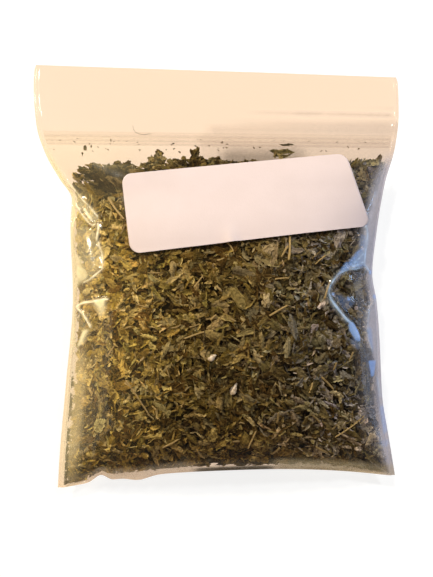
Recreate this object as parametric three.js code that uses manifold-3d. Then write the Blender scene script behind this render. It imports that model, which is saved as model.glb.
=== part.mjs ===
// A clear grip-seal bag of cut dried lemon balm leaf, lying on its back, with a plain sticker on its front.
//
// Millimetres. +X runs to the bag's right, +Y towards its mouth and +Z up from the surface that it lies on.
// A place on the bag is given by u, from -1 at the left weld to 1 at the right one, and by share, from 0 at the
// bottom fold to 1 at the mouth. Side is 1 on the front and -1 on the back.
import * as THREE from "three";
import { mergeVertices } from "three/addons/utils/BufferGeometryUtils.js";
import Module from "manifold-3d";

const wasm = await Module();
wasm.setup();

// ---------------------------------------------------------------- Driving dimensions

// Each curve is a list of [share, millimetres].
const BAG = {
  leftY: [[0, -82.3], [0.83, 53.7], [1, 82.7]],
  rightY: [[0, -77.4], [0.83, 52.1], [1, 77.8]],
  // Half widths, to the outer edges of the welds. The left side is pinched in where the leaf ends.
  leftX: [
    [0, 61.7], [0.1, 60.5], [0.25, 58.2], [0.46, 55.5], [0.62, 56.4], [0.685, 55.9],
    [0.735, 60.8], [0.79, 66.0], [0.86, 69.8], [0.96, 71.2], [0.993, 71.0], [1, 70.4],
  ],
  rightX: [
    [0, 69.8], [0.1, 67.0], [0.2, 64.5], [0.34, 63.4], [0.43, 62.3], [0.5, 60.6], [0.6, 62.2],
    [0.72, 65.3], [0.82, 69.6], [0.9, 71.1], [0.96, 71.2], [0.993, 71.0], [1, 70.4],
  ],
  weldZ: [[0, 5.5], [0.08, 9.0], [0.3, 11.4], [0.55, 11.8], [0.8, 10.8], [0.87, 9.4], [1, 4.6]],
  // How far the front stands over the welds, and how far the back would hang under them.
  frontFill: [
    [0, 0.5], [0.03, 6.4], [0.08, 12.0], [0.2, 17.6],
    [0.4, 19.8], [0.58, 16.8], [0.72, 8.6], [0.81, 0],
  ],
  backFill: [
    [0, 0.5], [0.03, 5.2], [0.08, 10.0], [0.2, 14.6],
    [0.4, 16.0], [0.58, 15.0], [0.72, 8.2], [0.81, 0],
  ],
  gape: [[0, 0], [0.7, 0], [0.8, 1.1], [0.86, 1.1], [0.9, 0.4], [1, 0.4]], // half the space in the seal
  bottomBow: 4.9, // how far the full belly draws the bottom fold up between its corners
  bowReach: 0.5, // share at which that has died out
  film: 0.4, // wall thickness
  weld: 2.2, // width of the flat side welds
};
// A section across the bag is 1 - |u|^shoulder, all to the power of flank.
const BELLY = { shoulder: 2.5, flank: 0.62 };
const SLOT = { shoulder: 40, flank: 0.5 };

const ZIP = {
  share: 0.83,
  reach: 0.93, // the strips end short of the welds, where the real ones are crushed flat
  halfWidth: 2.6,
  seat: 0.15, // clearance between each strip and its film
  base: 0.3,
  pocket: 1.0, // half width inside the channel
  pocketDepth: 0.7,
  wall: 0.4,
  hook: 0.25, // thickness of the channel's inturned edges
  hookGap: 0.55, // half width between them
  stem: 0.25, // half width of the rib's stem
  head: 0.75, // half width of its head
  headDepth: 0.3,
  headGap: 0.2, // clearance between the head and the channel's floor
};

const LABEL = {
  // Corners in plan: bottom left, bottom right, top right, top left.
  corners: [[-32.5, 8.3], [59.4, 19.3], [50.3, 47.3], [-36.5, 39.0]],
  width: 90,
  height: 30,
  radius: 3.8,
  thickness: 0.3,
  seat: 0.35,
};

const HERB = {
  bottom: 0.026,
  top: [[-1, 0.69], [-0.55, 0.745], [-0.2, 0.775], [1, 0.775]], // share that the leaf reaches, for each u
  edge: 0.965, // u at the sides
  coreDepth: 2.7, // how far the core lies under the film, and how far its own relief stands over or under that
  relief: 0.8,
  coreShare: 0.36, // the same as a share of the pouch's thickness, where it is thin
  clear: 0.45, // least gap between leaf and film
  thickness: 0.75,
  seed: 20267,
};
// How far apart the flakes of each side are, and their least and greatest half lengths.
const FLAKES = [
  { side: 1, spacing: 9.6, from: 5.2, to: 7.8 },
  { side: -1, spacing: 13.5, from: 6.4, to: 9.0 },
];

// Stalks on the front, each from one place in plan to another. The gap keeps each one free of the leaf.
const STALK_GAP = 0.3;
const STALKS = [
  { from: [27.9, 6.2], to: [28.2, 15.9], radius: 0.8 },
  { from: [20.5, -15.2], to: [27.6, -11.1], radius: 0.6 },
  { from: [22.6, -1.2], to: [28.0, -0.7], radius: 0.5 },
  { from: [41.8, -8.6], to: [43.6, -3.2], radius: 0.7 },
  { from: [46.0, -62.2], to: [57.4, -54.0], radius: 0.8 },
  { from: [40.6, -38.8], to: [45.2, -43.5], radius: 0.7 },
  { from: [-34.6, -40.0], to: [-25.4, -53.8], radius: 0.7 },
  { from: [-41.9, -31.0], to: [-39.2, -26.8], radius: 0.6 },
  { from: [-41.6, 30.4], to: [-35.4, 22.0], radius: 0.7 },
  { from: [-12.0, -24.0], to: [-4.6, -21.4], radius: 0.6 },
  { from: [-20.6, -66.4], to: [-13.8, -62.6], radius: 0.6 },
  { from: [12.4, -66.8], to: [15.4, -59.8], radius: 0.6 },
];
const STALK_DEPTH = 0.45; // how far a stalk's upper side lies under the film

// Pale bits of flower head, each with its place in plan, its half length and the way it points.
const PALE_BITS = [
  { at: [-1.6, -31.0], length: 2.3, turn: 0.5 },
  { at: [6.6, -43.5], length: 2.1, turn: 1.9 },
];

const COLOURS = {
  film: "#f4e4ce",
  zip: "#f0dcc6",
  label: "#fbefe8",
  leaf: "#5e5132",
  stalk: "#b59c62",
  pale: "#e4dac6",
};

// ---------------------------------------------------------------- The bag's form

// A smooth curve through its knots that never overshoots them, carried straight on past its ends.
function curve(knots) {
  const rates = knots.slice(1).map(([s, v], i) => (v - knots[i][1]) / (s - knots[i][0]));
  const slopes = knots.map((_, i) => {
    const before = rates[Math.max(i - 1, 0)];
    const after = rates[Math.min(i, rates.length - 1)];
    return before * after <= 0 ? 0 : (2 * before * after) / (before + after);
  });
  const last = knots.length - 1;
  return (share) => {
    if (share <= knots[0][0]) return knots[0][1] + slopes[0] * (share - knots[0][0]);
    if (share >= knots[last][0]) return knots[last][1] + slopes[last] * (share - knots[last][0]);
    const i = knots.findIndex(([s]) => s > share) - 1;
    const span = knots[i + 1][0] - knots[i][0];
    const t = (share - knots[i][0]) / span;
    const rise = knots[i + 1][1] - knots[i][1];
    const a = slopes[i] * span;
    const b = slopes[i + 1] * span;
    return knots[i][1] + t * (a + t * (3 * rise - 2 * a - b + t * (a + b - 2 * rise)));
  };
}

const { lerp, clamp } = THREE.MathUtils;
const leftY = curve(BAG.leftY);
const rightY = curve(BAG.rightY);
const leftX = curve(BAG.leftX);
const rightX = curve(BAG.rightX);
const weldZ = curve(BAG.weldZ);
const frontFill = curve(BAG.frontFill);
const backFill = curve(BAG.backFill);
const gape = curve(BAG.gape);
const herbTop = curve(HERB.top);

const section = (u, { shoulder, flank }) => (1 - Math.min(Math.abs(u), 1) ** shoulder) ** flank;

// A place in plan. u from 1 to 2, or -1 to -2, crosses the weld. Grow widens the pouch inside the welds.
function plan(u, share, grow = 0) {
  const left = leftX(share);
  const right = rightX(share);
  const inside = clamp(u, -1, 1);
  const overWeld = (u - inside) * (BAG.weld - grow);
  const x = lerp(-left + BAG.weld - grow, right - BAG.weld + grow, (inside + 1) / 2) + overWeld;
  const bow = BAG.bottomBow * (1 - Math.abs(inside) ** 2.5) * Math.max(0, 1 - share / BAG.bowReach) ** 2;
  return [x, lerp(leftY(share), rightY(share), (x + left) / (left + right)) + bow];
}

// A point on the film. Wall is 0 on its inner face and its thickness on its outer one. The back lies flat
// wherever it would hang below the surface.
function face(u, share, side, wall = 0) {
  const [x, y] = plan(u, share, wall);
  const fill = Math.max(0, (side > 0 ? frontFill : backFill)(share));
  const reach = fill * section(u, BELLY) + Math.max(0, gape(share)) * section(u, SLOT);
  const z = weldZ(share) + side * (reach + wall);
  return new THREE.Vector3(x, y, Math.max(z, BAG.film - wall));
}

// A point at a depth below the film's inner face, square to that face.
function inside(u, share, side, depth) {
  const step = 0.002;
  const u0 = clamp(u, step - 1, 1 - step);
  const across = face(u0 + step, share, side).sub(face(u0 - step, share, side));
  const along = face(u0, share + step, side).sub(face(u0, share - step, side));
  const inwards = across.cross(along).normalize().multiplyScalar(-side * depth);
  return face(u0, share, side).add(inwards);
}

// The u and share of a plan point, found by stepping towards it.
function placeOf([x, y]) {
  let u = 0;
  let share = 0.5;
  for (let i = 0; i < 20; i += 1) {
    const [x0, y0] = plan(u, share);
    u = clamp(u + (x - x0) / 60, -0.99, 0.99);
    share = clamp(share + (y - y0) / 160, 0, 1);
  }
  return { u, share };
}

// ---------------------------------------------------------------- Meshes and solids

function solidFrom(points, triangles) {
  return new wasm.Manifold(
    new wasm.Mesh({
      numProp: 3,
      vertProperties: new Float32Array(points.flatMap((p) => p.toArray())),
      triVerts: new Uint32Array(triangles.flat()),
    }),
  );
}

function solidOf(geometry, tolerance = 1e-4) {
  const bare = geometry.clone();
  bare.deleteAttribute("normal");
  bare.deleteAttribute("uv");
  const merged = mergeVertices(bare, tolerance);
  return new wasm.Manifold(
    new wasm.Mesh({
      numProp: 3,
      vertProperties: new Float32Array(merged.attributes.position.array),
      triVerts: new Uint32Array(merged.index.array),
    }),
  );
}

function geometryOf(solid) {
  const { numProp, vertProperties, triVerts } = solid.getMesh();
  const positions = vertProperties.filter((_, i) => i % numProp < 3);
  const geometry = new THREE.BufferGeometry();
  geometry.setAttribute("position", new THREE.BufferAttribute(positions, 3));
  geometry.setIndex(new THREE.BufferAttribute(triVerts, 1));
  geometry.computeVertexNormals();
  return geometry;
}

// Leaves out loose scraps.
const largestBody = (solid) => solid.decompose().sort((a, b) => b.volume() - a.volume())[0];

// A closed solid between an upper and a lower face, each a function of a column and a row.
function slab(upper, lower, columns, rows) {
  const layers = [upper, lower];
  const points = layers.flatMap((layer) => rows.flatMap((row) => columns.map((column) => layer(column, row))));
  const wide = columns.length;
  const tall = rows.length;
  const at = (layer, i, j) => (layer * tall + j) * wide + i;
  const triangles = [];
  const quad = (a, b, c, d) => triangles.push([a, b, c], [a, c, d]);
  for (let j = 0; j < tall - 1; j += 1) {
    for (let i = 0; i < wide - 1; i += 1) {
      quad(at(0, i, j), at(0, i + 1, j), at(0, i + 1, j + 1), at(0, i, j + 1));
      quad(at(1, i, j), at(1, i, j + 1), at(1, i + 1, j + 1), at(1, i + 1, j));
    }
    quad(at(0, 0, j), at(0, 0, j + 1), at(1, 0, j + 1), at(1, 0, j));
    quad(at(0, wide - 1, j), at(1, wide - 1, j), at(1, wide - 1, j + 1), at(0, wide - 1, j + 1));
  }
  for (let i = 0; i < wide - 1; i += 1) {
    quad(at(0, i, 0), at(1, i, 0), at(1, i + 1, 0), at(0, i + 1, 0));
    quad(at(0, i, tall - 1), at(0, i + 1, tall - 1), at(1, i + 1, tall - 1), at(1, i, tall - 1));
  }
  return solidFrom(points, triangles);
}

const range = (count) => Array.from({ length: count }, (_, i) => i);

// Columns from -reach to reach, closer together near the sides, where the section turns down.
const columnsTo = (reach, half) =>
  range(2 * half + 1).map((i) => reach * Math.sin(((i / half - 1) * Math.PI) / 2));

const FILM_ROWS = [
  0, 0.012, 0.03, 0.055, 0.09, 0.14, 0.2, 0.27, 0.35, 0.43, 0.51,
  0.58, 0.64, 0.68, 0.72, 0.76, 0.8, 0.86, 0.9, 0.98, 1,
];

// ---------------------------------------------------------------- Film, seal and label

function bagFilm() {
  const pouch = columnsTo(1, 8);
  const past = 0.02;
  const outer = slab(
    (u, share) => face(u, share, 1, BAG.film),
    (u, share) => face(u, share, -1, BAG.film),
    [-2, ...pouch, 2],
    [-BAG.film / (BAG.leftY[2][1] - BAG.leftY[0][1]), ...FILM_ROWS.slice(1)],
  );
  const cavityColumns = pouch.slice(1, -1);
  const cavity = slab(
    (u, share) => face(u, share, 1),
    (u, share) => face(u, share, -1),
    cavityColumns,
    [...FILM_ROWS, 1 + past],
  );
  return outer.subtract(cavity);
}

// A strip of the seal. Its section is a closed outline of [distance along Y, depth below the film].
function zipStrip(outline, side) {
  const stations = columnsTo(ZIP.reach, 8);
  const height = (leftY(1) - leftY(0) + rightY(1) - rightY(0)) / 2;
  const points = stations.flatMap((u) =>
    outline.map(([along, depth]) => {
      const point = face(u, ZIP.share + along / height, side);
      return point.setZ(point.z - side * depth);
    }),
  );
  const count = outline.length;
  const caps = THREE.ShapeUtils.triangulateShape(outline.map(([a, d]) => new THREE.Vector2(a, d)), []);
  const triangles = [];
  for (let i = 0; i < stations.length - 1; i += 1) {
    for (let k = 0; k < count; k += 1) {
      const a = i * count + k;
      const b = i * count + ((k + 1) % count);
      triangles.push([a, b, b + count], [a, b + count, a + count]);
    }
  }
  const far = (stations.length - 1) * count;
  for (const [a, b, c] of caps) triangles.push([a, c, b], [far + a, far + b, far + c]);
  // The front's section is drawn downwards and the back's upwards, so one of them is turned over.
  return solidFrom(points, side > 0 ? triangles.map(([a, b, c]) => [a, c, b]) : triangles);
}

const mirrored = (half) => [...half, ...half.map(([a, d]) => [-a, d]).reverse()];

function zipChannel() {
  const floor = ZIP.seat + ZIP.base;
  const hooks = floor + ZIP.pocketDepth;
  const outside = ZIP.pocket + ZIP.wall;
  return zipStrip(
    mirrored([
      [ZIP.halfWidth, ZIP.seat],
      [ZIP.halfWidth, floor],
      [outside, floor],
      [outside, hooks + ZIP.hook],
      [ZIP.hookGap, hooks + ZIP.hook],
      [ZIP.hookGap, hooks],
      [ZIP.pocket, hooks],
      [ZIP.pocket, floor],
    ]),
    1,
  );
}

function zipRib() {
  const between = 2 * gape(ZIP.share); // from the back film to the front one
  const top = between - ZIP.seat - ZIP.base - ZIP.headGap;
  const floor = ZIP.seat + ZIP.base;
  return zipStrip(
    mirrored([
      [ZIP.halfWidth, ZIP.seat],
      [ZIP.halfWidth, floor],
      [ZIP.stem, floor],
      [ZIP.stem, top - ZIP.headDepth],
      [ZIP.head, top - ZIP.headDepth],
      [ZIP.head, top],
    ]),
    -1,
  );
}

// The label's rows and columns run from -1 to 1. Its corners are round, so the end rows are shorter.
function labelSheet() {
  const ends = [0, 0.12, 0.45, 1].map((t) => (t * LABEL.radius * 2) / LABEL.height);
  const rows = [...ends.map((t) => t - 1), -0.25, 0.25, ...ends.map((t) => 1 - t).reverse()];
  const columns = range(17).map((i) => i / 8 - 1);
  const [bottomLeft, bottomRight, topRight, topLeft] = LABEL.corners;
  const surface = (height) => (column, row) => {
    const fromEnd = Math.min(LABEL.radius, ((1 - Math.abs(row)) * LABEL.height) / 2);
    const inset = LABEL.radius - Math.sqrt(LABEL.radius ** 2 - (LABEL.radius - fromEnd) ** 2);
    const s = (column * (1 - (2 * inset) / LABEL.width) + 1) / 2;
    const t = (row + 1) / 2;
    const at = [0, 1].map((k) => {
      const bottom = lerp(bottomLeft[k], bottomRight[k], s);
      return lerp(bottom, lerp(topLeft[k], topRight[k], s), t);
    });
    const { u, share } = placeOf(at);
    return inside(u, share, 1, -BAG.film - height);
  };
  return slab(surface(LABEL.seat + LABEL.thickness), surface(LABEL.seat), columns, rows);
}

// ---------------------------------------------------------------- Leaf, stalks and pale bits

let seed = HERB.seed;
function random() {
  seed = (seed * 1664525 + 1013904223) % 4294967296;
  return seed / 4294967296;
}
const between = (low, high) => lerp(low, high, random());

const coreDepth = (u, share) => {
  const thick = face(u, share, 1).z - face(u, share, -1).z;
  return Math.min(HERB.coreDepth, HERB.coreShare * thick);
};

// The core is crumpled too, so that what shows of it between the flakes reads as more of them.
function leafCore() {
  const surface = (side) => (u, row) => {
    const share = lerp(HERB.bottom, herbTop(u), row);
    const depth = coreDepth(u, share);
    return inside(u, share, side, depth + (between(-HERB.relief, HERB.relief) * depth) / HERB.coreDepth);
  };
  const rows = range(18).map((i) => i / 17);
  return slab(surface(1), surface(-1), columnsTo(HERB.edge, 9), rows);
}

// The space that the leaf may fill, a little less than the pouch. It trims the few flakes that reach past it.
function leafRoom() {
  const rows = range(31).map((i) => lerp(HERB.bottom / 2, 0.81, i / 30));
  const surface = (side) => (u, share) => inside(u, share, side, HERB.clear / 2);
  return slab(surface(1), surface(-1), columnsTo(0.985, 14), rows);
}

// Places on one side of the leaf, none nearer to another than the spacing.
function scatter(side, spacing) {
  const places = [];
  for (let miss = 0; miss < 400; miss += 1) {
    const u = between(-HERB.edge, HERB.edge);
    const share = between(HERB.bottom, herbTop(u) + 0.008);
    const point = inside(u, share, side, 1);
    if (places.every((other) => other.point.distanceTo(point) > spacing)) {
      places.push({ u, share, point });
      miss = 0;
    }
  }
  return places;
}

// The outline of a bit of cut leaf, from one end of its midrib round by the other.
const FLAKE_OUTLINE = [[-1, 0], [-0.45, -0.85], [0.4, -0.95], [1, 0], [0.45, 0.9], [-0.4, 0.8]];

// A flake is folded along its midrib and bent to the film that presses on it. Its tilt dips one edge into the
// core.
function flake({ u, share }, side, halfLength) {
  const step = 0.002;
  const perU = face(u + step, share, side).distanceTo(face(u - step, share, side)) / (2 * step);
  const perShare = face(u, share + step, side).distanceTo(face(u, share - step, side)) / (2 * step);
  const halfWidth = halfLength * between(0.5, 0.8);
  const turn = between(0, 2 * Math.PI);
  const dip = between(0, 2 * Math.PI);
  const fold = between(0.1, 0.5);
  const room = coreDepth(u, share) - HERB.clear;
  const outline = FLAKE_OUTLINE.map(([a, b]) => [a * between(0.8, 1.2), b * between(0.8, 1.2)]);
  const layer = (below) => outline.map(([a, b]) => {
    const along = a * halfLength;
    const across = b * halfWidth;
    const du = (along * Math.cos(turn) - across * Math.sin(turn)) / perU;
    const ds = (along * Math.sin(turn) + across * Math.cos(turn)) / perShare;
    const sunk = 0.1 + 0.42 * (1 + a * Math.cos(dip) + b * Math.sin(dip)) + fold * Math.abs(b);
    const top = herbTop(u) + 0.022;
    const depth = HERB.clear + room * Math.max(0, sunk) + below;
    return inside(clamp(u + du, -0.985, 0.985), clamp(share + ds, 0.012, top), side, depth);
  });
  const upper = [[0, 1, 2], [0, 2, 3], [0, 3, 4], [0, 4, 5]];
  const triangles = [...upper, ...upper.map(([i, j, k]) => [k + 6, j + 6, i + 6])];
  for (let i = 0; i < 6; i += 1) {
    const next = (i + 1) % 6;
    triangles.push([i, i + 6, next + 6], [i, next + 6, next]);
  }
  const points = [...layer(0), ...layer(HERB.thickness)];
  return solidFrom(points, side > 0 ? triangles : triangles.map(([i, j, k]) => [i, k, j]));
}

function stalkSolid({ from, to, radius }, grow) {
  const ends = [from, to].map(placeOf);
  const path = range(5).map((i) => {
    const u = lerp(ends[0].u, ends[1].u, i / 4);
    const share = lerp(ends[0].share, ends[1].share, i / 4);
    return inside(u, share, 1, STALK_DEPTH + radius);
  });
  const line = new THREE.CatmullRomCurve3(path);
  const start = line.getPoint(0).addScaledVector(line.getTangent(0), -grow);
  const end = line.getPoint(1).addScaledVector(line.getTangent(1), grow);
  const route = new THREE.CatmullRomCurve3([start, ...path.slice(1, -1), end]);
  const sides = 6;
  const outline = range(sides).map((i) => {
    const angle = (i / sides) * 2 * Math.PI;
    return new THREE.Vector2(Math.cos(angle), Math.sin(angle)).multiplyScalar(radius + grow);
  });
  return solidOf(new THREE.ExtrudeGeometry(new THREE.Shape(outline), { steps: 4, extrudePath: route }));
}

// A dried calyx, a small closed bell lying on its side.
function paleSolid({ at, length, turn }, grow) {
  const { u, share } = placeOf(at);
  const wide = length * 0.62;
  const profile = [[0, -1], [0.5, -0.85], [0.8, -0.3], [0.85, 0.4], [1, 1], [0, 0.8]].map(
    ([r, h]) => new THREE.Vector2(r * wide + (r > 0 ? grow : 0), h * length + Math.sign(h) * grow),
  );
  const bell = new THREE.LatheGeometry(profile, 7);
  const place = inside(u, share, 1, STALK_DEPTH + wide);
  bell.rotateZ(turn);
  bell.translate(place.x, place.y, place.z);
  return solidOf(bell);
}

function leafBed() {
  const room = leafRoom();
  let bed = leafCore();
  for (const { side, spacing, from, to } of FLAKES) {
    for (const place of scatter(side, spacing)) {
      const bit = flake(place, side, between(from, to));
      const past = bit.subtract(room).volume();
      bed = bed.add(past > 0.01 ? bit.intersect(room) : bit);
    }
  }
  for (const stalk of STALKS) bed = bed.subtract(stalkSolid(stalk, STALK_GAP));
  for (const bit of PALE_BITS) bed = bed.subtract(paleSolid(bit, STALK_GAP));
  return largestBody(solidOf(geometryOf(largestBody(bed)), 2e-3));
}

// ---------------------------------------------------------------- The assembly

function piece(name, solid, finish) {
  const mesh = new THREE.Mesh(geometryOf(solid), new THREE.MeshStandardMaterial({ metalness: 0, ...finish }));
  mesh.name = name;
  return mesh;
}

const numbered = (name, i) => `${name}_${String(i + 1).padStart(2, "0")}`;

const group = new THREE.Group();
group.add(
  piece("bag_film", bagFilm(), { color: COLOURS.film, roughness: 0.2, transparent: true, opacity: 0.35 }),
  piece("zip_channel", zipChannel(), { color: COLOURS.zip, roughness: 0.3, transparent: true, opacity: 0.6 }),
  piece("zip_rib", zipRib(), { color: COLOURS.zip, roughness: 0.3, transparent: true, opacity: 0.6 }),
  piece("label", labelSheet(), { color: COLOURS.label, roughness: 0.7 }),
  piece("dried_leaf_bed", leafBed(), { color: COLOURS.leaf, roughness: 0.95 }),
);
STALKS.forEach((stalk, i) => {
  group.add(piece(numbered("stalk", i), stalkSolid(stalk, 0), { color: COLOURS.stalk, roughness: 0.8 }));
});
PALE_BITS.forEach((bit, i) => {
  group.add(piece(numbered("pale_bit", i), paleSolid(bit, 0), { color: COLOURS.pale, roughness: 0.9 }));
});

export default group;
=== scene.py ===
"""A clear grip-seal bag of cut dried lemon balm leaf, lying on its back on a pale floor.

Lengths are in millimetres until a mesh is made, and metres from there on. A place on the bag is given by u,
from -1 at the left weld to 1 at the right one, and by share, from 0 at the bottom fold to 1 at the mouth.
Side is 1 on the front and -1 on the back.
"""

import math

import bpy
import numpy as np
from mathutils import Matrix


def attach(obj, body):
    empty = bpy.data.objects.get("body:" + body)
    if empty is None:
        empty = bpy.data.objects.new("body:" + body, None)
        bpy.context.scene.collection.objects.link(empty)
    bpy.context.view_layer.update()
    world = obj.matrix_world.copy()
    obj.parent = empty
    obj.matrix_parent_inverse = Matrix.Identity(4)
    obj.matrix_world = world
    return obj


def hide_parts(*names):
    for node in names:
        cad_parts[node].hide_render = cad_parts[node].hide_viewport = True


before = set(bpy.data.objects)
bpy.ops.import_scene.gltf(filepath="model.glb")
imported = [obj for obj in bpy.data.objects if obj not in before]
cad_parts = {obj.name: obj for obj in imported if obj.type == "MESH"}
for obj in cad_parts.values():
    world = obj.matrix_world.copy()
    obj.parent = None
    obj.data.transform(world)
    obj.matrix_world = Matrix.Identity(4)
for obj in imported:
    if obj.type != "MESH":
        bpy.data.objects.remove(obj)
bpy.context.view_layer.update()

MM = 0.001
BODY = "root"
rng = np.random.default_rng(523)

# ------------------------------------------------------------------ Camera, floor and light

FRAME_PIXELS = (433, 577)
MM_PER_PIXEL = 0.388
VIEW_CENTRE = (0.2, -4.8)  # where the camera looks, in plan
VIEW_PLANE = 11.0  # height of the side welds, at which that scale holds
CAMERA_HEIGHT = 1000.0
SENSOR_HEIGHT = 24.0


def look_down():
    """A camera straight over the bag, with the bag's mouth at the top of its frame."""
    data = bpy.data.cameras.new("camera")
    data.sensor_fit = "VERTICAL"
    data.sensor_height = SENSOR_HEIGHT
    data.lens = SENSOR_HEIGHT * CAMERA_HEIGHT / (FRAME_PIXELS[1] * MM_PER_PIXEL)
    data.clip_start = 0.01
    data.clip_end = 20.0
    camera = bpy.data.objects.new("camera", data)
    camera.location = (VIEW_CENTRE[0] * MM, VIEW_CENTRE[1] * MM, (CAMERA_HEIGHT + VIEW_PLANE) * MM)
    bpy.context.collection.objects.link(camera)
    bpy.context.scene.camera = camera


def panel_light(name, place, size, radiance, colour):
    """A flat lamp at place that faces the bag. Radiance is how bright its surface looks."""
    data = bpy.data.lights.new(name, "AREA")
    data.shape = "RECTANGLE"
    data.size, data.size_y = size
    data.energy = radiance * math.pi * size[0] * size[1]
    data.color = colour
    lamp = bpy.data.objects.new(name, data)
    lamp.location = place
    x, y, z = place
    lamp.rotation_euler = (math.atan2(math.hypot(x, y), z), 0, math.atan2(x, -y))
    bpy.context.collection.objects.link(lamp)


def from_bag(azimuth, elevation, distance=1.5):
    """A place at a distance from the bag, in metres. Azimuth is in degrees from the bag's right towards its
    mouth."""
    azimuth, elevation = math.radians(azimuth), math.radians(elevation)
    flat = distance * math.cos(elevation)
    return flat * math.cos(azimuth), flat * math.sin(azimuth), distance * math.sin(elevation)


look_down()

# The two small lamps stand where only the film under the label would mirror them to the camera. The windows
# are low, so that only the steep flanks of the bag mirror them, and the two glints brighten the creases
# there.
panel_light("warm_lamp", from_bag(114, 43), (0.12, 0.12), 270.0, (1.0, 0.95, 0.82))
panel_light("cool_lamp", from_bag(57, 46), (0.12, 0.12), 190.0, (0.94, 0.97, 1.0))
panel_light("left_window", from_bag(146, 24), (0.50, 0.30), 20.0, (1.0, 0.86, 0.60))
panel_light("low_window", from_bag(206, 30), (1.2, 0.80), 1.6, (1.0, 0.86, 0.60))
panel_light("right_window", from_bag(2, 12), (1.5, 0.40), 2.2, (0.50, 0.68, 1.0))
panel_light("left_glint", from_bag(172, 24), (0.08, 0.10), 80.0, (1.0, 0.93, 0.78))
panel_light("right_glint", from_bag(8, 24), (0.08, 0.12), 12.0, (0.36, 0.60, 1.0))

# ------------------------------------------------------------------ The bag's form

# Lists of (share, millimetres). Widths are half widths to the outer edges of the welds.
LEFT_Y = [(0, -82.3), (0.83, 53.7), (1, 82.7)]
RIGHT_Y = [(0, -77.4), (0.83, 52.1), (1, 77.8)]
LEFT_X = [
    (0, 61.7), (0.1, 60.5), (0.25, 58.2), (0.46, 55.5), (0.62, 56.4), (0.685, 55.9),
    (0.735, 60.8), (0.79, 66.0), (0.86, 69.8), (0.96, 71.2), (0.993, 71.0), (1, 70.4),
]
RIGHT_X = [
    (0, 69.8), (0.1, 67.0), (0.2, 64.5), (0.34, 63.4), (0.43, 62.3), (0.5, 60.6), (0.6, 62.2),
    (0.72, 65.3), (0.82, 69.6), (0.9, 71.1), (0.96, 71.2), (0.993, 71.0), (1, 70.4),
]
WELD_Z = [(0, 5.5), (0.08, 9.0), (0.3, 11.4), (0.55, 11.8), (0.8, 10.8), (0.87, 9.4), (1, 4.6)]
FRONT_FILL = [
    (0, 0.5), (0.03, 6.4), (0.08, 12.0), (0.2, 17.6),
    (0.4, 19.8), (0.58, 16.8), (0.72, 8.6), (0.81, 0),
]
BACK_FILL = [
    (0, 0.5), (0.03, 5.2), (0.08, 10.0), (0.2, 14.6),
    (0.4, 16.0), (0.58, 15.0), (0.72, 8.2), (0.81, 0),
]
GAPE = [(0, 0), (0.7, 0), (0.8, 1.1), (0.86, 1.1), (0.9, 0.4), (1, 0.4)]
BOTTOM_BOW = 4.9
BOW_REACH = 0.5
BOW_FORM = 2.5
DRAWN_IN = (-45.0, 3.2, 2.4)  # where the bottom fold is drawn in, over what width and how far
WELD_WIDTH = [(0, 1.8), (0.2, 1.6), (0.36, 1.2), (0.46, 0.8), (0.7, 0.9), (0.85, 1.2), (1, 1.2)]
CAD_WALL = 0.4
BELLY = (2.5, 0.62)  # a section across the bag is 1 - |u| ** first, all to the power of the second
SLOT = (40, 0.5)


def curve(knots):
    """A smooth curve through its knots that never overshoots them: a cubic on each span, whose end slopes
    are the harmonic means of the rates on either side, carried straight on past both ends."""
    at, value = np.array(knots, float).T
    rates = np.diff(value) / np.diff(at)
    before, after = np.r_[rates[:1], rates], np.r_[rates, rates[-1:]]
    steady = before * after > 0
    slopes = np.where(steady, 2 * before * after / np.where(steady, before + after, 1), 0)

    def follow(share):
        """The curve's value at each share."""
        i = np.clip(np.searchsorted(at, share, side="right") - 1, 0, len(at) - 2)
        span = at[i + 1] - at[i]
        t = np.clip((share - at[i]) / span, 0, 1)
        rise = value[i + 1] - value[i]
        a, b = slopes[i] * span, slopes[i + 1] * span
        held = value[i] + t * (a + t * (3 * rise - 2 * a - b + t * (a + b - 2 * rise)))
        return held + slopes[0] * np.minimum(share - at[0], 0) + slopes[-1] * np.maximum(share - at[-1], 0)

    return follow


left_y, right_y, left_x, right_x = curve(LEFT_Y), curve(RIGHT_Y), curve(LEFT_X), curve(RIGHT_X)
weld_z, front_fill, back_fill, gape = curve(WELD_Z), curve(FRONT_FILL), curve(BACK_FILL), curve(GAPE)
weld_width = curve(WELD_WIDTH)


def smooth(low, high, value):
    """0 below low, 1 above high, and a smooth step between them. Low may be the larger."""
    t = np.clip((value - low) / (high - low), 0, 1)
    return t * t * (3 - 2 * t)


def bell(distance, width):
    """1 at no distance, and fading to nothing within a few widths."""
    return np.exp(-((distance / width) ** 2))


def section(u, form):
    """The height of a rounded section: 1 in its middle and 0 at its sides."""
    shoulder, flank = form
    return (1 - np.minimum(np.abs(u), 1) ** shoulder) ** flank


def plan(u, share, grow=0.0):
    """A place in plan. u from 1 to 2, or -1 to -2, crosses the weld, and grow widens the pouch inside the
    welds. The bottom fold is bowed, and drawn in at one place."""
    left, right, weld = left_x(share), right_x(share), weld_width(share) - grow
    inner = np.clip(u, -1, 1)
    start, end = weld - left, right - weld
    x = start + (end - start) * (inner + 1) / 2 + (u - inner) * weld
    bow = BOTTOM_BOW * (1 - np.abs(inner) ** BOW_FORM) * np.maximum(0, 1 - share / BOW_REACH) ** 2
    middle, width, depth = DRAWN_IN
    drawn_in = depth * bell(x - middle, width) * smooth(0.05, 0.0, share)
    low, high = left_y(share), right_y(share)
    return x, low + (high - low) * (x + left) / (left + right) + bow + drawn_in


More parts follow.
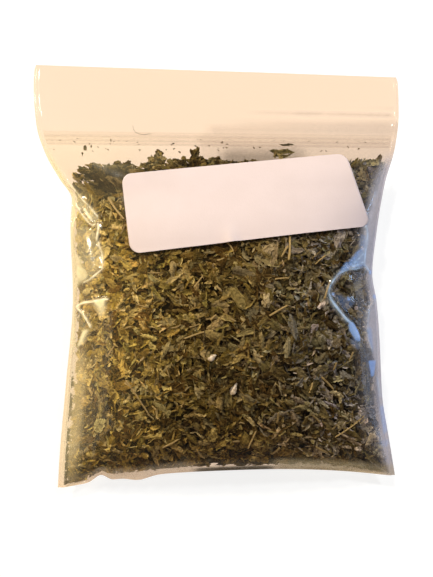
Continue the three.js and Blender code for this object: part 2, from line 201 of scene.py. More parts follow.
def face(u, share, side, wall=0.0):
    """A point on the film's face at wall over its inner one: the weld's height, plus or minus the belly's
    rounded section and the seal's flat slot. The back lies flat wherever it would hang below the surface."""
    u, share = np.broadcast_arrays(np.asarray(u, float), np.asarray(share, float))
    x, y = plan(u, share, wall)
    fill = np.maximum(0, (front_fill if side > 0 else back_fill)(share))
    reach = fill * section(u, BELLY) + np.maximum(0, gape(share)) * section(u, SLOT)
    z = np.maximum(weld_z(share) + side * (reach + wall), CAD_WALL - wall)
    return np.stack([x, y, z], axis=-1)


def unit(vectors):
    """The same vectors, each divided by its length."""
    return vectors / np.maximum(np.linalg.norm(vectors, axis=-1, keepdims=True), 1e-9)


def inside(u, share, side, depth):
    """A point at a depth under the film's inner face, square to that face."""
    step = 0.002
    u, share, depth = np.broadcast_arrays(*(np.asarray(v, float) for v in (u, share, depth)))
    u = np.clip(u, step - 1, 1 - step)
    across = face(u + step, share, side) - face(u - step, share, side)
    along = face(u, share + step, side) - face(u, share - step, side)
    return face(u, share, side) - unit(side * np.cross(across, along)) * depth[..., None]


ROUGH_HALF_WIDTH = 60.0  # millimetres for one step of u, on the whole
ROUGH_HEIGHT = 160.0  # millimetres for one step of share
PLACE_STEPS = 24
PLACE_EDGE = 0.995


def place_of(x, y):
    """The u and share of places in plan, found by stepping towards them."""
    x, y = np.asarray(x, float), np.asarray(y, float)
    u, share = np.zeros_like(x), np.full_like(x, 0.5)
    for _ in range(PLACE_STEPS):
        x0, y0 = plan(u, share)
        u = np.clip(u + (x - x0) / ROUGH_HALF_WIDTH, -PLACE_EDGE, PLACE_EDGE)
        share = np.clip(share + (y - y0) / ROUGH_HEIGHT, 0, 1)
    return u, share


# ------------------------------------------------------------------ Meshes


def add_mesh(name, points, faces, material, uv=None, colours=None, values=None):
    """A smooth mesh from points in millimetres and arrays of faces, one array for each number of corners. uv
    and colours are given for each point, and values is a dictionary of named numbers for each point."""
    mesh = bpy.data.meshes.new(name)
    points = np.asarray(points, float).reshape(-1, 3)
    mesh.vertices.add(len(points))
    mesh.vertices.foreach_set("co", (points * MM).ravel())
    corners = np.concatenate([f.ravel() for f in faces])
    counts = np.concatenate([np.full(len(f), f.shape[1]) for f in faces])
    mesh.loops.add(len(corners))
    mesh.loops.foreach_set("vertex_index", corners.astype(np.int32))
    mesh.polygons.add(len(counts))
    mesh.polygons.foreach_set("loop_start", np.r_[0, np.cumsum(counts)[:-1]].astype(np.int32))
    mesh.polygons.foreach_set("use_smooth", np.ones(len(counts), bool))
    if uv is not None:
        layer = mesh.uv_layers.new(name="flat")
        layer.data.foreach_set("uv", np.asarray(uv, float).reshape(-1, 2)[corners].ravel())
    if colours is not None:
        layer = mesh.attributes.new("tone", "FLOAT_COLOR", "POINT")
        rgba = np.ones((len(points), 4))
        rgba[:, :3] = np.asarray(colours).reshape(-1, 3)
        layer.data.foreach_set("color", rgba.ravel())
    for key, numbers in (values or {}).items():
        layer = mesh.attributes.new(key, "FLOAT", "POINT")
        layer.data.foreach_set("value", np.asarray(numbers, float).ravel())
    mesh.update(calc_edges=True)
    mesh.validate()
    mesh.materials.append(material)
    piece = bpy.data.objects.new(name, mesh)
    bpy.context.collection.objects.link(piece)
    return piece


def grid_faces(rows, columns, flip=False, start=0):
    """Four-cornered faces of a grid of points kept row by row. They face up where columns run to the right
    and rows away, and down with flip."""
    at = start + np.arange(rows * columns).reshape(rows, columns)
    quads = np.stack([at[:-1, :-1], at[:-1, 1:], at[1:, 1:], at[1:, :-1]], axis=-1).reshape(-1, 4)
    return quads[:, ::-1] if flip else quads


def closed_sheet(upper, lower):
    """Points and faces of a closed sheet between two grids of points, of which the upper faces up."""
    rows, columns = upper.shape[:2]
    size = rows * columns
    at = np.arange(size).reshape(rows, columns)
    rim = np.concatenate([at[0, :-1], at[:-1, -1], at[-1, :0:-1], at[:0:-1, 0]])
    ahead = np.roll(rim, -1)
    wall = np.stack([rim + size, ahead + size, ahead, rim], axis=-1)
    faces = [grid_faces(rows, columns), grid_faces(rows, columns, flip=True, start=size), wall]
    return np.concatenate([upper.reshape(-1, 3), lower.reshape(-1, 3)]), faces


def tube_faces(stations, sides):
    """Faces of a tube whose points are kept ring by ring: its walls, then its first and its last end."""
    at = np.arange(stations * sides).reshape(stations, sides)
    beside = np.roll(at, -1, axis=1)
    walls = np.stack([at[:-1], at[1:], beside[1:], beside[:-1]], axis=-1).reshape(-1, 4)
    return [walls, at[:1, ::-1], at[-1:]]


def finish(piece, slot, *nodes):
    """Says what body a piece rides on and which CAD nodes it stands for, which it hides. Its slot is not
    used.
    """
    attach(piece, BODY)
    if nodes:
        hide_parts(*nodes)
    return piece


# ------------------------------------------------------------------ Shader maths


class Value:
    """A number, colour or vector that varies over a surface. Its operators add Math nodes."""

    def __init__(self, surface, socket):
        self.surface = surface
        self.socket = socket

    def _math(self, operation, *values):
        """The result of a Math node."""
        return self.surface.node("ShaderNodeMath", {"operation": operation}, values)

    def __add__(self, other):
        return self._math("ADD", self, other)

    def __mul__(self, other):
        return self._math("MULTIPLY", self, other)

    def __pow__(self, other):
        return self._math("POWER", self, other)

    __radd__ = __add__
    __rmul__ = __mul__


class Surface:
    """A material, or the sky, and the nodes that make it."""

    def __init__(self, name, kind=bpy.data.materials):
        self.made = kind.new(name)
        self.made.use_nodes = True
        self.tree = self.made.node_tree
        self.tree.nodes.clear()
        self.place = self.node("ShaderNodeTexCoord", out="Object")

    def node(self, kind, settings=None, sockets=(), out=0):
        """Adds a node, sets its settings and then its sockets, and returns one of its outputs. Sockets is a
        sequence or a dictionary of values and links, and stops are a ramp's (place, colour) pairs."""
        made = self.tree.nodes.new(kind)
        for key, setting in (settings or {}).items():
            if key == "stops":
                ramp = made.color_ramp.elements
                while len(ramp) < len(setting):
                    ramp.new(1.0)
                for stop, (position, colour) in zip(ramp, setting):
                    stop.position = position
                    stop.color = (*colour, 1.0)
            else:
                setattr(made, key, setting)
        pairs = sockets.items() if isinstance(sockets, dict) else enumerate(sockets)
        for key, value in pairs:
            if isinstance(value, Value):
                self.tree.links.new(value.socket, made.inputs[key])
            else:
                made.inputs[key].default_value = value
        return Value(self, made.outputs[out]) if made.outputs else None

    def noise(self, scale, detail=3.0, roughness=0.5, at=None, stretch=None):
        """Cloudy noise over the piece's own coordinates, or over at, stretched along them."""
        at = at or self.place
        if stretch:
            at = self.node("ShaderNodeVectorMath", {"operation": "MULTIPLY"}, (at, stretch))
        sockets = {"Vector": at, "Scale": scale, "Detail": detail, "Roughness": roughness}
        return self.node("ShaderNodeTexNoise", None, sockets)

    def attribute(self, name, out="Fac"):
        """A number, or with out "Color" a colour, that the piece holds for each of its points."""
        return self.node("ShaderNodeAttribute", {"attribute_name": name}, out=out)

    def ramp(self, factor, *stops):
        """A colour that follows a factor through stops, each a place and a colour."""
        return self.node("ShaderNodeValToRGB", {"stops": stops}, {"Fac": factor})

    def mix(self, factor, first, second, blend="MIX"):
        """A mix of two colours."""
        sockets = {0: factor, 6: first, 7: second}
        return self.node("ShaderNodeMix", {"data_type": "RGBA", "blend_type": blend}, sockets, out=2)

    def span(self, value, low, high, to_low=0.0, to_high=1.0):
        """Maps a number from one range to another, held at its ends."""
        return self.node("ShaderNodeMapRange", None, (value, low, high, to_low, to_high))

    def bump(self, height, distance, strength=1.0):
        """The surface's normal, tilted as if it stood out by height times distance in metres."""
        sockets = {"Strength": strength, "Distance": distance, "Height": height}
        return self.node("ShaderNodeBump", None, sockets, out="Normal")

    def principled(self, **sockets):
        """The common shader for solid things, with its sockets written in lower case."""
        named = {key.replace("_", " ").title().replace("Ior", "IOR"): value for key, value in sockets.items()}
        return self.node("ShaderNodeBsdfPrincipled", None, named)

    def show(self, shader):
        """Makes the shader the material's own and returns the material."""
        self.node("ShaderNodeOutputMaterial", None, {"Surface": shader})
        return self.made


MIRROR_HEAD_ON, MIRROR_GRAZING = 0.02, 0.42


def clear_plastic(name, tint, gloss, swell):
    """Clear plastic that doesn't bend what is behind it: tinted and see-through, as milky as the piece's own
    milkiness attribute says, which also carries painted light and shade, in its own 'tone', and with a mirror
    share that grows towards a grazing angle, times its 'gleam'. Swell is the height of the slow waves in its
    surface."""
    s = Surface(name)
    grain = s.noise(240, 2)
    waves = s.noise(38, 3, 0.5)
    normal = s.bump(waves * s.attribute("loose") + grain * 0.05, swell)
    facing = s.node("ShaderNodeLayerWeight", None, {"Blend": 0.5, "Normal": normal}, out="Facing")
    mirror = ((facing ** 5.0) * MIRROR_GRAZING + MIRROR_HEAD_ON) * s.attribute("gleam")
    cloud = s.span(s.noise(28, 4), 0.3, 0.75, 0.75, 1.25) * s.span(s.noise(1400, 2), 0.35, 0.65, 0.92, 1.08)
    see_through = s.node("ShaderNodeBsdfTransparent", None, {"Color": tint})
    milky = s.principled(base_color=s.attribute("tone", "Color"), roughness=0.45, specular_ior_level=0.0)
    body = s.node("ShaderNodeMixShader", None, (s.attribute("milk") * cloud, see_through, milky))
    polish = s.span(grain, 0.3, 0.8, gloss, gloss + 0.05)
    shine = s.node("ShaderNodeBsdfGlossy", None, {"Roughness": polish, "Normal": normal})
    return s.show(s.node("ShaderNodeMixShader", None, (mirror, body, shine)))


def label_paper():
    """Matt white sticker paper: a fine felt of fibres in its surface and a faint cloudiness in its
    colour."""
    s = Surface("label_paper")
    fibres = s.noise(2600, 3, 0.6, stretch=(1.0, 0.35, 1.0))
    cloud = s.noise(90, 3)
    colour = s.mix(s.span(cloud, 0.3, 0.7), (0.712, 0.585, 0.575, 1), (0.742, 0.613, 0.608, 1))
    speck = s.span(fibres, 0.25, 0.45, 0.10, 0.0)
    colour = s.mix(speck, colour, (0.60, 0.50, 0.45, 1))
    normal = s.bump(fibres + cloud * 0.5, 0.00006)
    return s.show(s.principled(base_color=colour, roughness=0.62, specular_ior_level=0.35, normal=normal))


BLOTCH_BROWN = (0.048, 0.030, 0.008, 1)
VEIN_STRAW = (0.40, 0.31, 0.13, 1)
RIB_BROWN = (0.022, 0.012, 0.0016, 1)
CRUMPLE_SHADE_BROWN = (0.016, 0.0075, 0.0009, 1)


def dry_leaf():
    """Dry leaf: each flake's own tone, with a pale net of veins over it, brown blotches, dark ribs, painted
    shade in the hollows of its crumples, and a papery grain."""
    s = Surface("dry_leaf")
    flat = s.node("ShaderNodeUVMap", {"uv_map": "flat"})
    cells = {"feature": "DISTANCE_TO_EDGE"}
    net = s.node("ShaderNodeTexVoronoi", cells, {"Vector": flat, "Scale": 1.0}, out="Distance")
    veins = s.span(net, 0.0, 0.10, 1.0, 0.0)
    ribs = s.noise(1.0, 3, 0.6, at=flat, stretch=(0.35, 1.9, 1.0))
    blotch = s.noise(420, 4, 0.6)
    crumple = s.noise(850, 4, 0.62)
    colour = s.mix(s.span(blotch, 0.5, 0.75, 0.0, 0.42), s.attribute("tone", "Color"), BLOTCH_BROWN)
    colour = s.mix(veins * 0.18 + s.span(ribs, 0.52, 0.66, 0.0, 0.28), colour, VEIN_STRAW)
    colour = s.mix(s.span(ribs, 0.34, 0.47, 0.52, 0.0), colour, RIB_BROWN)
    # Painted shade: darker in the hollows of the crumples.
    colour = s.mix(s.span(crumple, 0.36, 0.50, 0.6, 0.0), colour, CRUMPLE_SHADE_BROWN)
    normal = s.bump(veins * 0.3 + ribs * 0.8 + crumple * 1.0 + blotch * 0.5, 0.0006)
    return s.show(s.principled(base_color=colour, roughness=0.7, specular_ior_level=0.07, normal=normal))


def packed_leaf_in_painted_shade():
    """The dark mass under the flakes that show: small bits in three browns, kept dark as painted shade in the
    gaps between the flakes, with a rough grain.
    """
    s = Surface("packed_leaf_in_painted_shade")
    bits = s.node("ShaderNodeTexVoronoi", None, {"Vector": s.place, "Scale": 520.0}, out="Color")
    shade = s.node("ShaderNodeSeparateColor", None, (bits,))
    dark, middle, pale = (0.010, 0.005, 0.0006), (0.028, 0.016, 0.003), (0.056, 0.036, 0.010)
    colour = s.ramp(shade, (0.0, dark), (0.6, middle), (1.0, pale))
    normal = s.bump(s.noise(900, 4, 0.6), 0.0012)
    return s.show(s.principled(base_color=colour, roughness=0.85, specular_ior_level=0.04, normal=normal))


def dry_stalk():
    """Dry stalk: straw that darkens in streaks along it, from each bit's own tone."""
    s = Surface("dry_stalk")
    flat = s.node("ShaderNodeUVMap", {"uv_map": "flat"})
    streaks = s.noise(1.0, 4, 0.6, at=flat, stretch=(1.2, 9.0, 1.0))
    tone = s.attribute("tone", "Color")
    colour = s.mix(s.span(streaks, 0.4, 0.75, 0.0, 0.6), tone, (0.19, 0.13, 0.05, 1))
    normal = s.bump(streaks, 0.0002)
    return s.show(s.principled(base_color=colour, roughness=0.6, specular_ior_level=0.35, normal=normal))


def calyx_paper():
    """The papery dried calyx of a flower: off-white with tan ribs."""
    s = Surface("calyx_paper")
    blotch = s.noise(900, 3)
    colour = s.ramp(blotch, (0.3, (0.42, 0.33, 0.22)), (0.5, (0.78, 0.72, 0.62)), (0.8, (0.90, 0.87, 0.80)))
    normal = s.bump(blotch, 0.0002)
    return s.show(s.principled(base_color=colour, roughness=0.7, normal=normal))


FLOOR_GLOW = 0.80  # lit from below, as a light table is


def pale_floor():
    """A matt floor of an even pale grey with a faint cloudiness, which glows."""
    s = Surface("pale_floor")
    cloud = s.noise(3.0, 2)
    colour = s.mix(cloud, (0.30, 0.30, 0.30, 1), (0.32, 0.32, 0.32, 1))
    glow = {"emission_color": (1.0, 1.0, 1.0, 1), "emission_strength": FLOOR_GLOW}
    return s.show(s.principled(base_color=colour, roughness=0.9, specular_ior_level=0.1, **glow))


FILM_TINT = (0.984, 0.921, 0.857, 1)
film_plastic = clear_plastic("clear_film", FILM_TINT, 0.07, 0.0001)
zip_plastic = clear_plastic("clear_strip", (0.999, 0.996, 0.991, 1), 0.12, 0.00005)
label_material = label_paper()
leaf_material = dry_leaf()
core_material = packed_leaf_in_painted_shade()
stalk_material = dry_stalk()
calyx_material = calyx_paper()

# ------------------------------------------------------------------ Floor and sky

FLOOR_SIZE = 6000.0


def lay_floor():
    """A pale floor that the film doesn't mirror, so that the leaf shows through the bag's steep edges."""
    half = FLOOR_SIZE / 2
    points = [(-half, -half, 0), (half, -half, 0), (half, half, 0), (-half, half, 0)]
    floor = add_mesh("floor", points, [np.array([[0, 1, 2, 3]])], pale_floor())
    floor.visible_glossy = False


SKY_LOW, SKY_HIGH = (0.22, 0.20, 0.17), (0.05, 0.04, 0.03)


def light_sky():
    """A sky that is pale at the horizon and dim overhead, so that the film mirrors little of it towards a
    camera that looks down."""
    s = Surface("sky", bpy.data.worlds)
    direction = s.node("ShaderNodeTexCoord", out="Generated")
    height = s.node("ShaderNodeSeparateXYZ", None, (direction,), out="Z")
    glow = s.node("ShaderNodeBackground", None, (s.ramp(height, (0.12, SKY_LOW), (0.75, SKY_HIGH)),))
    s.node("ShaderNodeOutputWorld", None, (glow,))
    bpy.context.scene.world = s.made


lay_floor()
light_sky()
bpy.context.scene.view_settings.view_transform = "Standard"
bpy.context.scene.cycles.transparent_max_bounces = 32

# ------------------------------------------------------------------ Creases in the film

FILM_FACE = 0.33  # the film's outer face, over the pouch's inner one
FILM_THICKNESS = 0.1
WELD_FACE = 0.115

# Creases on the front, each with its crest's points in plan, its height, how far it reaches to the left and
# to the right of the way it runs, and how strong the painted highlight along its crest is.
CREASES = [
    ([(-55.1, 32.6), (-54.0, 27.9), (-51.6, 24.0), (-48.6, 20.3), (-47.1, 19.3), (-45.2, 20.5)],
     0.9, 1.6, 1.2, 0.6),
    ([(-58.2, 38.0), (-54.3, 33.4), (-50.8, 28.9), (-48.1, 26.2), (-45.4, 22.7), (-45.0, 20.0)],
     0.7, 1.3, 1.6, 0.5),
    ([(-51.0, 26.4), (-49.5, 24.1), (-47.5, 21.0)], 0.6, 0.6, 0.6, 0.9),
    ([(-45.2, 20.8), (-44.8, 18.3), (-45.4, 14.8), (-45.6, 13.0)], 1.0, 1.2, 2.6, 0.9),
    ([(-45.4, 14.8), (-44.7, 11.6), (-43.4, 7.9), (-43.4, 2.8), (-46.6, 0.0), (-48.9, -1.6), (-52.4, -3.2)],
     0.4, 1.4, 3.0, 0.7),
    ([(-54.4, -12.6), (-53.7, -11.7), (-51.0, -10.3), (-47.2, -9.8), (-42.9, -9.0), (-40.5, -8.9)],
     0.6, 0.9, 2.8, 1.0),
    ([(-54.2, -11.2), (-53.7, -11.7), (-51.6, -13.9), (-49.9, -16.1), (-48.3, -18.8), (-47.6, -20.6)],
     0.8, 1.2, 1.2, 0.9),
    ([(-48.6, -20.0), (-49.7, -22.0), (-52.3, -26.6), (-53.4, -30.0)], 0.8, 1.0, 1.8, 0.3),
    ([(-54.3, 22.9), (-54.6, 22.0), (-55.4, 20.3), (-55.6, 19.0)], 0.5, 0.7, 0.7, 1.0),
    ([(57.4, 22.0), (57.6, 19.2), (58.0, 15.6), (57.7, 12.3), (57.0, 9.4), (56.8, 4.4), (58.4, 2.2),
      (60.4, 1.2)], 0.9, 1.4, 2.4, 0.75),
    ([(56.8, 3.6), (53.8, 2.7), (51.1, 2.7), (46.9, 0.9), (44.9, -1.5), (43.4, -4.0)], 0.6, 1.2, 2.8, 0.55),
    ([(44.9, -1.5), (43.4, -4.0), (42.9, -6.2), (43.7, -9.0), (45.6, -11.7)], 0.8, 1.0, 2.2, 0.45),
    ([(42.9, -6.2), (43.7, -9.0), (45.6, -11.7), (47.6, -14.2), (49.6, -16.6), (51.6, -18.2), (55.4, -26.0)],
     0.9, 2.0, 1.4, 0.8),
    ([(56.9, 9.4), (55.0, 6.8), (52.6, 4.6)], 0.2, 0.6, 0.6, 0.55),
    ([(57.0, 5.8), (54.6, 4.5), (51.4, 3.4)], 0.2, 0.5, 0.5, 0.6),
    ([(62.2, -38.6), (63.2, -42.6), (64.0, -47.0)], 0.2, 0.8, 0.8, 0.35),
    ([(63.0, -7.5), (61.4, -9.6), (58.8, -12.6), (58.0, -18.0), (58.3, -24.0), (60.4, -31.0)],
     0.8, 1.0, 1.8, 0.3),
    ([(-49.4, -76.4), (-45.8, -74.3), (-43.9, -73.8), (-42.0, -74.7), (-39.0, -76.6)], 0.3, 0.8, 0.8, 0.15),
    ([(28.6, -74.6), (37.2, -72.4), (43.0, -73.7), (47.5, -74.8)], 0.3, 0.8, 0.8, 0.4),
    ([(46.5, -75.0), (51.5, -72.7), (55.3, -72.9), (58.5, -74.9)], 0.3, 0.8, 0.8, 0.4),
]
# Painted shade of faint ripples across the lip: lines, each with how dark it is.
RIPPLE_SHADE_LINES = [
    ([(8.0, 63.4), (28.7, 63.1), (42.3, 63.3), (48.1, 63.1), (69.8, 62.6)], 0.16),
    ([(40.0, 66.6), (50.1, 66.4), (59.0, 66.0), (65.6, 65.8), (69.8, 65.6)], 0.10),
]
RIPPLE_SHADE_WIDTH = 0.3
# Painted shade: places where the film darkens the leaf behind it, corners in plan, how much and how soft.
PAINTED_SHADES = [
    ([(-52.5, 40.5), (-44.0, 42.5), (-33.0, 42.5), (-33.0, 33.0), (-44.0, 30.0), (-51.0, 36.0)], 0.28, 1.3),
    ([(57.0, -22.0), (61.0, -30.0), (63.2, -44.0), (63.6, -60.0), (61.0, -60.0), (58.5, -42.0),
      (56.0, -28.0)], 0.30, 1.5),
]
# Painted reflections: facets of the film painted milky, in a warm tone on the left and a blue one on the
# right, as if they mirrored the light there: the corners of each in plan, how strong it is and how soft its
# edges are.
PAINTED_REFLECTIONS = [
    ([(-54.3, 19.4), (-47.3, 18.6), (-44.8, 14.0), (-43.5, 3.1), (-51.2, -2.3), (-54.6, 5.0)], 0.17, 1.0),
    ([(-57.6, 38.5), (-55.6, 30.0), (-46.6, 19.8), (-45.2, 22.5), (-50.6, 29.0)], 0.2, 0.5),
    ([(-46.8, -9.8), (-42.2, -8.7), (-43.0, -11.6), (-44.6, -12.6)], 0.75, 0.5),
    ([(-47.4, -10.2), (-42.0, -8.9), (-42.3, -13.6), (-44.2, -15.8)], 0.36, 1.4),
    ([(-51.2, -20.6), (-48.5, -20.8), (-51.2, -26.6), (-53.4, -27.4)], 0.52, 0.9),
    ([(-55.0, -14.0), (-52.6, -14.0), (-49.0, -19.6), (-54.6, -24.0)], 0.12, 0.8),
    ([(-54.4, 5.6), (-50.2, 3.2), (-48.8, -0.6), (-53.4, -3.4), (-54.8, 1.6)], 0.42, 1.4),
    ([(55.6, 15.8), (57.4, 15.4), (57.4, 10.4), (55.2, 11.4)], 0.24, 0.6),
    ([(57.3, 12.0), (56.9, 3.6), (51.1, 2.9), (50.6, 4.9), (54.3, 9.8)], 0.34, 0.7),
    ([(51.6, 2.9), (46.3, 0.6), (50.2, 5.6)], 0.36, 0.6),
    ([(50.4, -17.2), (52.4, -18.0), (54.5, -21.3), (55.4, -25.2), (53.6, -24.8), (51.1, -20.6)], 0.62, 0.4),
    ([(51.4, -24.0), (53.4, -24.4), (55.8, -25.2), (55.0, -28.4), (52.4, -27.0)], 0.12, 0.8),
    ([(57.8, -19.8), (59.9, -20.2), (60.6, -28.6), (58.5, -25.8)], 0.42, 0.6),
    ([(44.6, -7.0), (54.0, -9.4), (51.8, -12.2), (49.6, -13.4)], 0.10, 0.8),
    ([(58.8, -32.6), (61.9, -32.6), (61.1, -38.5), (59.9, -38.9)], 0.7, 0.35),
    ([(44.2, -6.4), (45.4, -6.4), (45.2, -7.6), (44.3, -7.5)], 0.45, 0.4),
    ([(46.2, -6.2), (51.6, -9.7), (50.1, -12.8), (48.3, -11.6)], 0.10, 0.9),
    ([(50.4, -7.8), (51.6, -8.4), (51.8, -9.6), (50.2, -9.4)], 0.4, 0.4),
    ([(60.6, -7.4), (61.9, -7.2), (62.0, -8.6), (60.8, -8.8)], 0.6, 0.4),
    ([(59.0, 2.4), (60.3, 2.2), (60.2, 0.8), (58.9, 0.9)], 0.7, 0.4),
    ([(63.8, -50.4), (65.4, -50.4), (66.4, -60.6), (65.2, -61.0)], 0.5, 0.6),
    ([(64.0, -63.8), (67.2, -63.6), (66.9, -65.9), (64.6, -66.2)], 0.3, 0.6),
]
# Tones of the film's milkiness and of the light and shade painted into it: warm painted light, painted blue
# reflections and cool painted shade; warm and cool painted shadows and dark painted shade; a tan painted
# sheen and blue painted shade; the fold's painted shadow, pale and dark; the crests' painted highlights; and
# how wide a crest's painted highlight and the glow round it are.
WARM_PAINTED_LIGHT, BLUE_PAINTED_REFLECTION, COOL_PAINTED_SHADE = (1.0, 0.90, 0.58), (0.30, 0.50, 0.95), (0.53, 0.53, 0.62)
WARM_PAINTED_SHADOW, COOL_PAINTED_SHADOW, DARK_PAINTED_SHADE = (0.25, 0.18, 0.15), (0.20, 0.18, 0.23), (0.075, 0.062, 0.040)
TAN_PAINTED_SHEEN, BLUE_PAINTED_SHADE = (0.70, 0.56, 0.30), (0.075, 0.085, 0.125)
FOLD_SHADOW_LEFT, FOLD_SHADOW_RIGHT = (1.0, 0.84, 0.64), (0.60, 0.51, 0.33)
WARM_PAINTED_HIGHLIGHT, BLUE_PAINTED_HIGHLIGHT = (1.0, 0.91, 0.66), (0.58, 0.76, 1.0)
HIGHLIGHT_WIDTH, HIGHLIGHT_GLOW_WIDTH = 0.30, 0.95
HIGHLIGHT_GLOW = 0.24  # the glow's part of the light on a crest


def from_line(x, y, points):
    """How far places in plan lie to the left of a line through points, negative to its right, and how far
    along it the nearest point is, from 0 to 1."""
    points = np.array(points, float)
    lengths = np.linalg.norm(np.diff(points, axis=0), axis=1)
    starts = np.r_[0, np.cumsum(lengths)]
    nearest, along, side = np.full(x.shape, np.inf), np.zeros(x.shape), np.ones(x.shape)
    for (x0, y0), (x1, y1), length, start in zip(points, points[1:], lengths, starts):
        t = np.clip(((x - x0) * (x1 - x0) + (y - y0) * (y1 - y0)) / length**2, 0, 1)
        distance = np.hypot(x - x0 - t * (x1 - x0), y - y0 - t * (y1 - y0))
        nearer = distance < nearest
        nearest, along = np.where(nearer, distance, nearest), np.where(nearer, start + t * length, along)
        side = np.where(nearer, np.sign((x1 - x0) * (y - y0) - (y1 - y0) * (x - x0)), side)
    return nearest * side, along / starts[-1]


WELD_SIDE = 0.985  # where puckers start, just inside the welds
PUCKERS_UP_TO = {1: 0.16, -1: 0.80}  # the share that they go up to on the front and on the back


def pucker(u, share, height, white):
    """A short straight crease through three places, of a random width, with a painted highlight of the given
    strength along it.
    """
    x, y = plan(u, share)
    return list(zip(x, y)), height * 0.5, *rng.uniform(0.8, 2.2, 2), white


def pucker_lines(side):
    """Short creases that run in from the welds, near the bottom corners only on the front, and up from the
    bottom fold. A few are valleys."""
    lines = []
    halves = np.array([0.0, 0.5, 1.0])
    for edge in (-1, 1):
        share = 0.02
        while share < PUCKERS_UP_TO[side]:
            reach = rng.uniform(0.06, 0.20)
            slant = rng.normal(0, 0.018)
            height = rng.uniform(0.25, 0.85) * (1 if rng.random() < 0.7 else -0.5)
            lines.append(pucker((WELD_SIDE - reach * halves) * edge, share + slant * halves, height, 0.05))
            share += rng.uniform(0.016, 0.05)
    u = -0.95
    while u < 0.95:
        reach = rng.uniform(0.02, 0.07) * (1.4 if abs(u) > 0.6 else 0.8)
        lean = rng.normal(0, 0.04) - 0.05 * u
        height = rng.uniform(0.25, 0.8) * (1 if rng.random() < 0.65 else -0.6)
        lines.append(pucker(u + lean * halves, halves * reach, height, 0.06))
        u += rng.uniform(0.03, 0.10)
    return lines


CREST = 0.2  # how round a crease's crest is


def relief(x, y, creases):
    """Height of the creases over the smooth film and how much painted highlight lies along them. Each has
    straight slopes on both sides of a rounded crest and fades out towards its ends, and the highest of them
    counts, and the deepest. A painted highlight, a fine line with a glow round it, follows each crest,
    brighter and dimmer by turns."""
    ridges, valleys, white = np.zeros((3, *x.shape))
    for points, crest, left, right, highlight_strength in creases:
        distance, along = from_line(x, y, points)
        fade = smooth(0, 0.12, along) * smooth(1, 0.88, along)
        reach = np.where(distance > 0, left, right)
        height = crest * fade * np.maximum(0, 1 - (np.hypot(distance, CREST) - CREST) / reach)
        ridges, valleys = np.maximum(ridges, height), np.minimum(valleys, height)
        lit = (1 - HIGHLIGHT_GLOW) * bell(distance, HIGHLIGHT_WIDTH) + HIGHLIGHT_GLOW * bell(distance, HIGHLIGHT_GLOW_WIDTH)
        uneven = 0.82 + 0.18 * np.sin(along * 21 + 9 * points[0][0])
        white = np.maximum(white, highlight_strength * fade * uneven * lit)
    return ridges + valleys, white


def cover(x, y, corners, soft=0.3):
    """1 inside an outline with no inward corner and 0 outside it, with soft edges."""
    corners = np.array(corners)
    ahead = np.roll(corners, -1, axis=0)
    way = np.sign(np.sum(corners[:, 0] * ahead[:, 1] - corners[:, 1] * ahead[:, 0]))
    inside_all = np.ones(x.shape)
    for (x0, y0), (x1, y1) in zip(corners, ahead):
        distance = way * ((x1 - x0) * (y - y0) - (y1 - y0) * (x - x0)) / math.hypot(x1 - x0, y1 - y0)
        inside_all *= smooth(-soft, soft, distance)
    return inside_all


def stripe(distance, middle, half):
    """1 within half of middle and 0 farther from it, with soft edges."""
    return np.exp(-(((distance - middle) / half) ** 4))


def blend(first, second, share):
    """A colour for each place, from the first to the second."""
    return np.array(first) + share[..., None] * (np.array(second) - np.array(first))


# How milky the film is all over, and over the welds beside the lip and how much more beside the pouch; then
# the painted light over the empty margins beside the leaf, a warm glow on the left and painted shade on the
# right, and how much less of it low on the left, and the painted light on the left and the right side.
TRACE, LIP_WELD, POUCH_WELD = 0.001, 0.03, 0.09
LEFT_MARGIN, LOW_LESS, RIGHT_MARGIN = 0.24, 0.18, 0.38
LEFT_SEAL, LEFT_SIDE, LEFT_FLANK, RIGHT_FLANK = 0.05, 0.014, 0.07, 0.07
# Painted shadow on the bottom fold on the left and how much more on the right, painted shade where the leaf
# lies against the fold's middle, and the tan painted sheen low beside the left weld.
FOLD_SHADOW_ON_LEFT, FOLD_SHADOW_MORE_ON_RIGHT, PACKED_FOLD_SHADE, TAN_SHEEN = 0.19, 0.17, 0.45, 0.33
# How strong the painted shadow at the seal is, and how much more near its top and on the right, its top edge
# on the left and how much that rises on the right, and how much painted shade lies on the top of the leaf
# under it.
SEAL_SHADOW_BASE, PATCH_TOP, PATCH_RIGHT = 0.05, 0.065, 0.35
PATCH_EDGE, EDGE_STEP, EDGE_RISE = 56.0, 3.3, 1.6
UNDER_SEAL_SHADE = 0.37


def leftness(x):
    """0 near the bag's middle and to its right, and 1 at its left side."""
    return smooth(-8, -50, x)


def spread_milk_and_painted_light(x, u, share):
    """The film's milkiness and painted light without its layers: a trace of milkiness all over and more over
    the welds, then painted light over the empty margins beside the leaf and towards both sides."""
    left, body = leftness(x), smooth(0.82, 0.74, share)
    off_weld = smooth(1.3, 0.995, -u)
    left_gap = smooth(HERB_LEFT(share) - 0.02, HERB_LEFT(share) + 0.01, -u) * off_weld
    right_gap = smooth(HERB_RIGHT(share) - 0.06, HERB_RIGHT(share) + 0.01, u)
    under_seal = smooth(0.86, 0.82, share) * smooth(0.72, 0.80, share)
    flank = smooth(0.80, 0.98, -u) * off_weld
    milk = TRACE + smooth(0.985, 1.03, np.abs(u)) * (LIP_WELD + POUCH_WELD * body)
    milk += body * (LEFT_MARGIN - LOW_LESS * left * smooth(0.36, 0.30, share)) * left_gap
    milk += body * RIGHT_MARGIN * np.maximum(right_gap, smooth(0.98, 1.0, u))
    milk += left * LEFT_SEAL * under_seal
    milk += left * smooth(0.80, 0.68, share) * (LEFT_SIDE + LEFT_FLANK * flank)
    return milk + body * RIGHT_FLANK * smooth(0.80, 0.97, u)


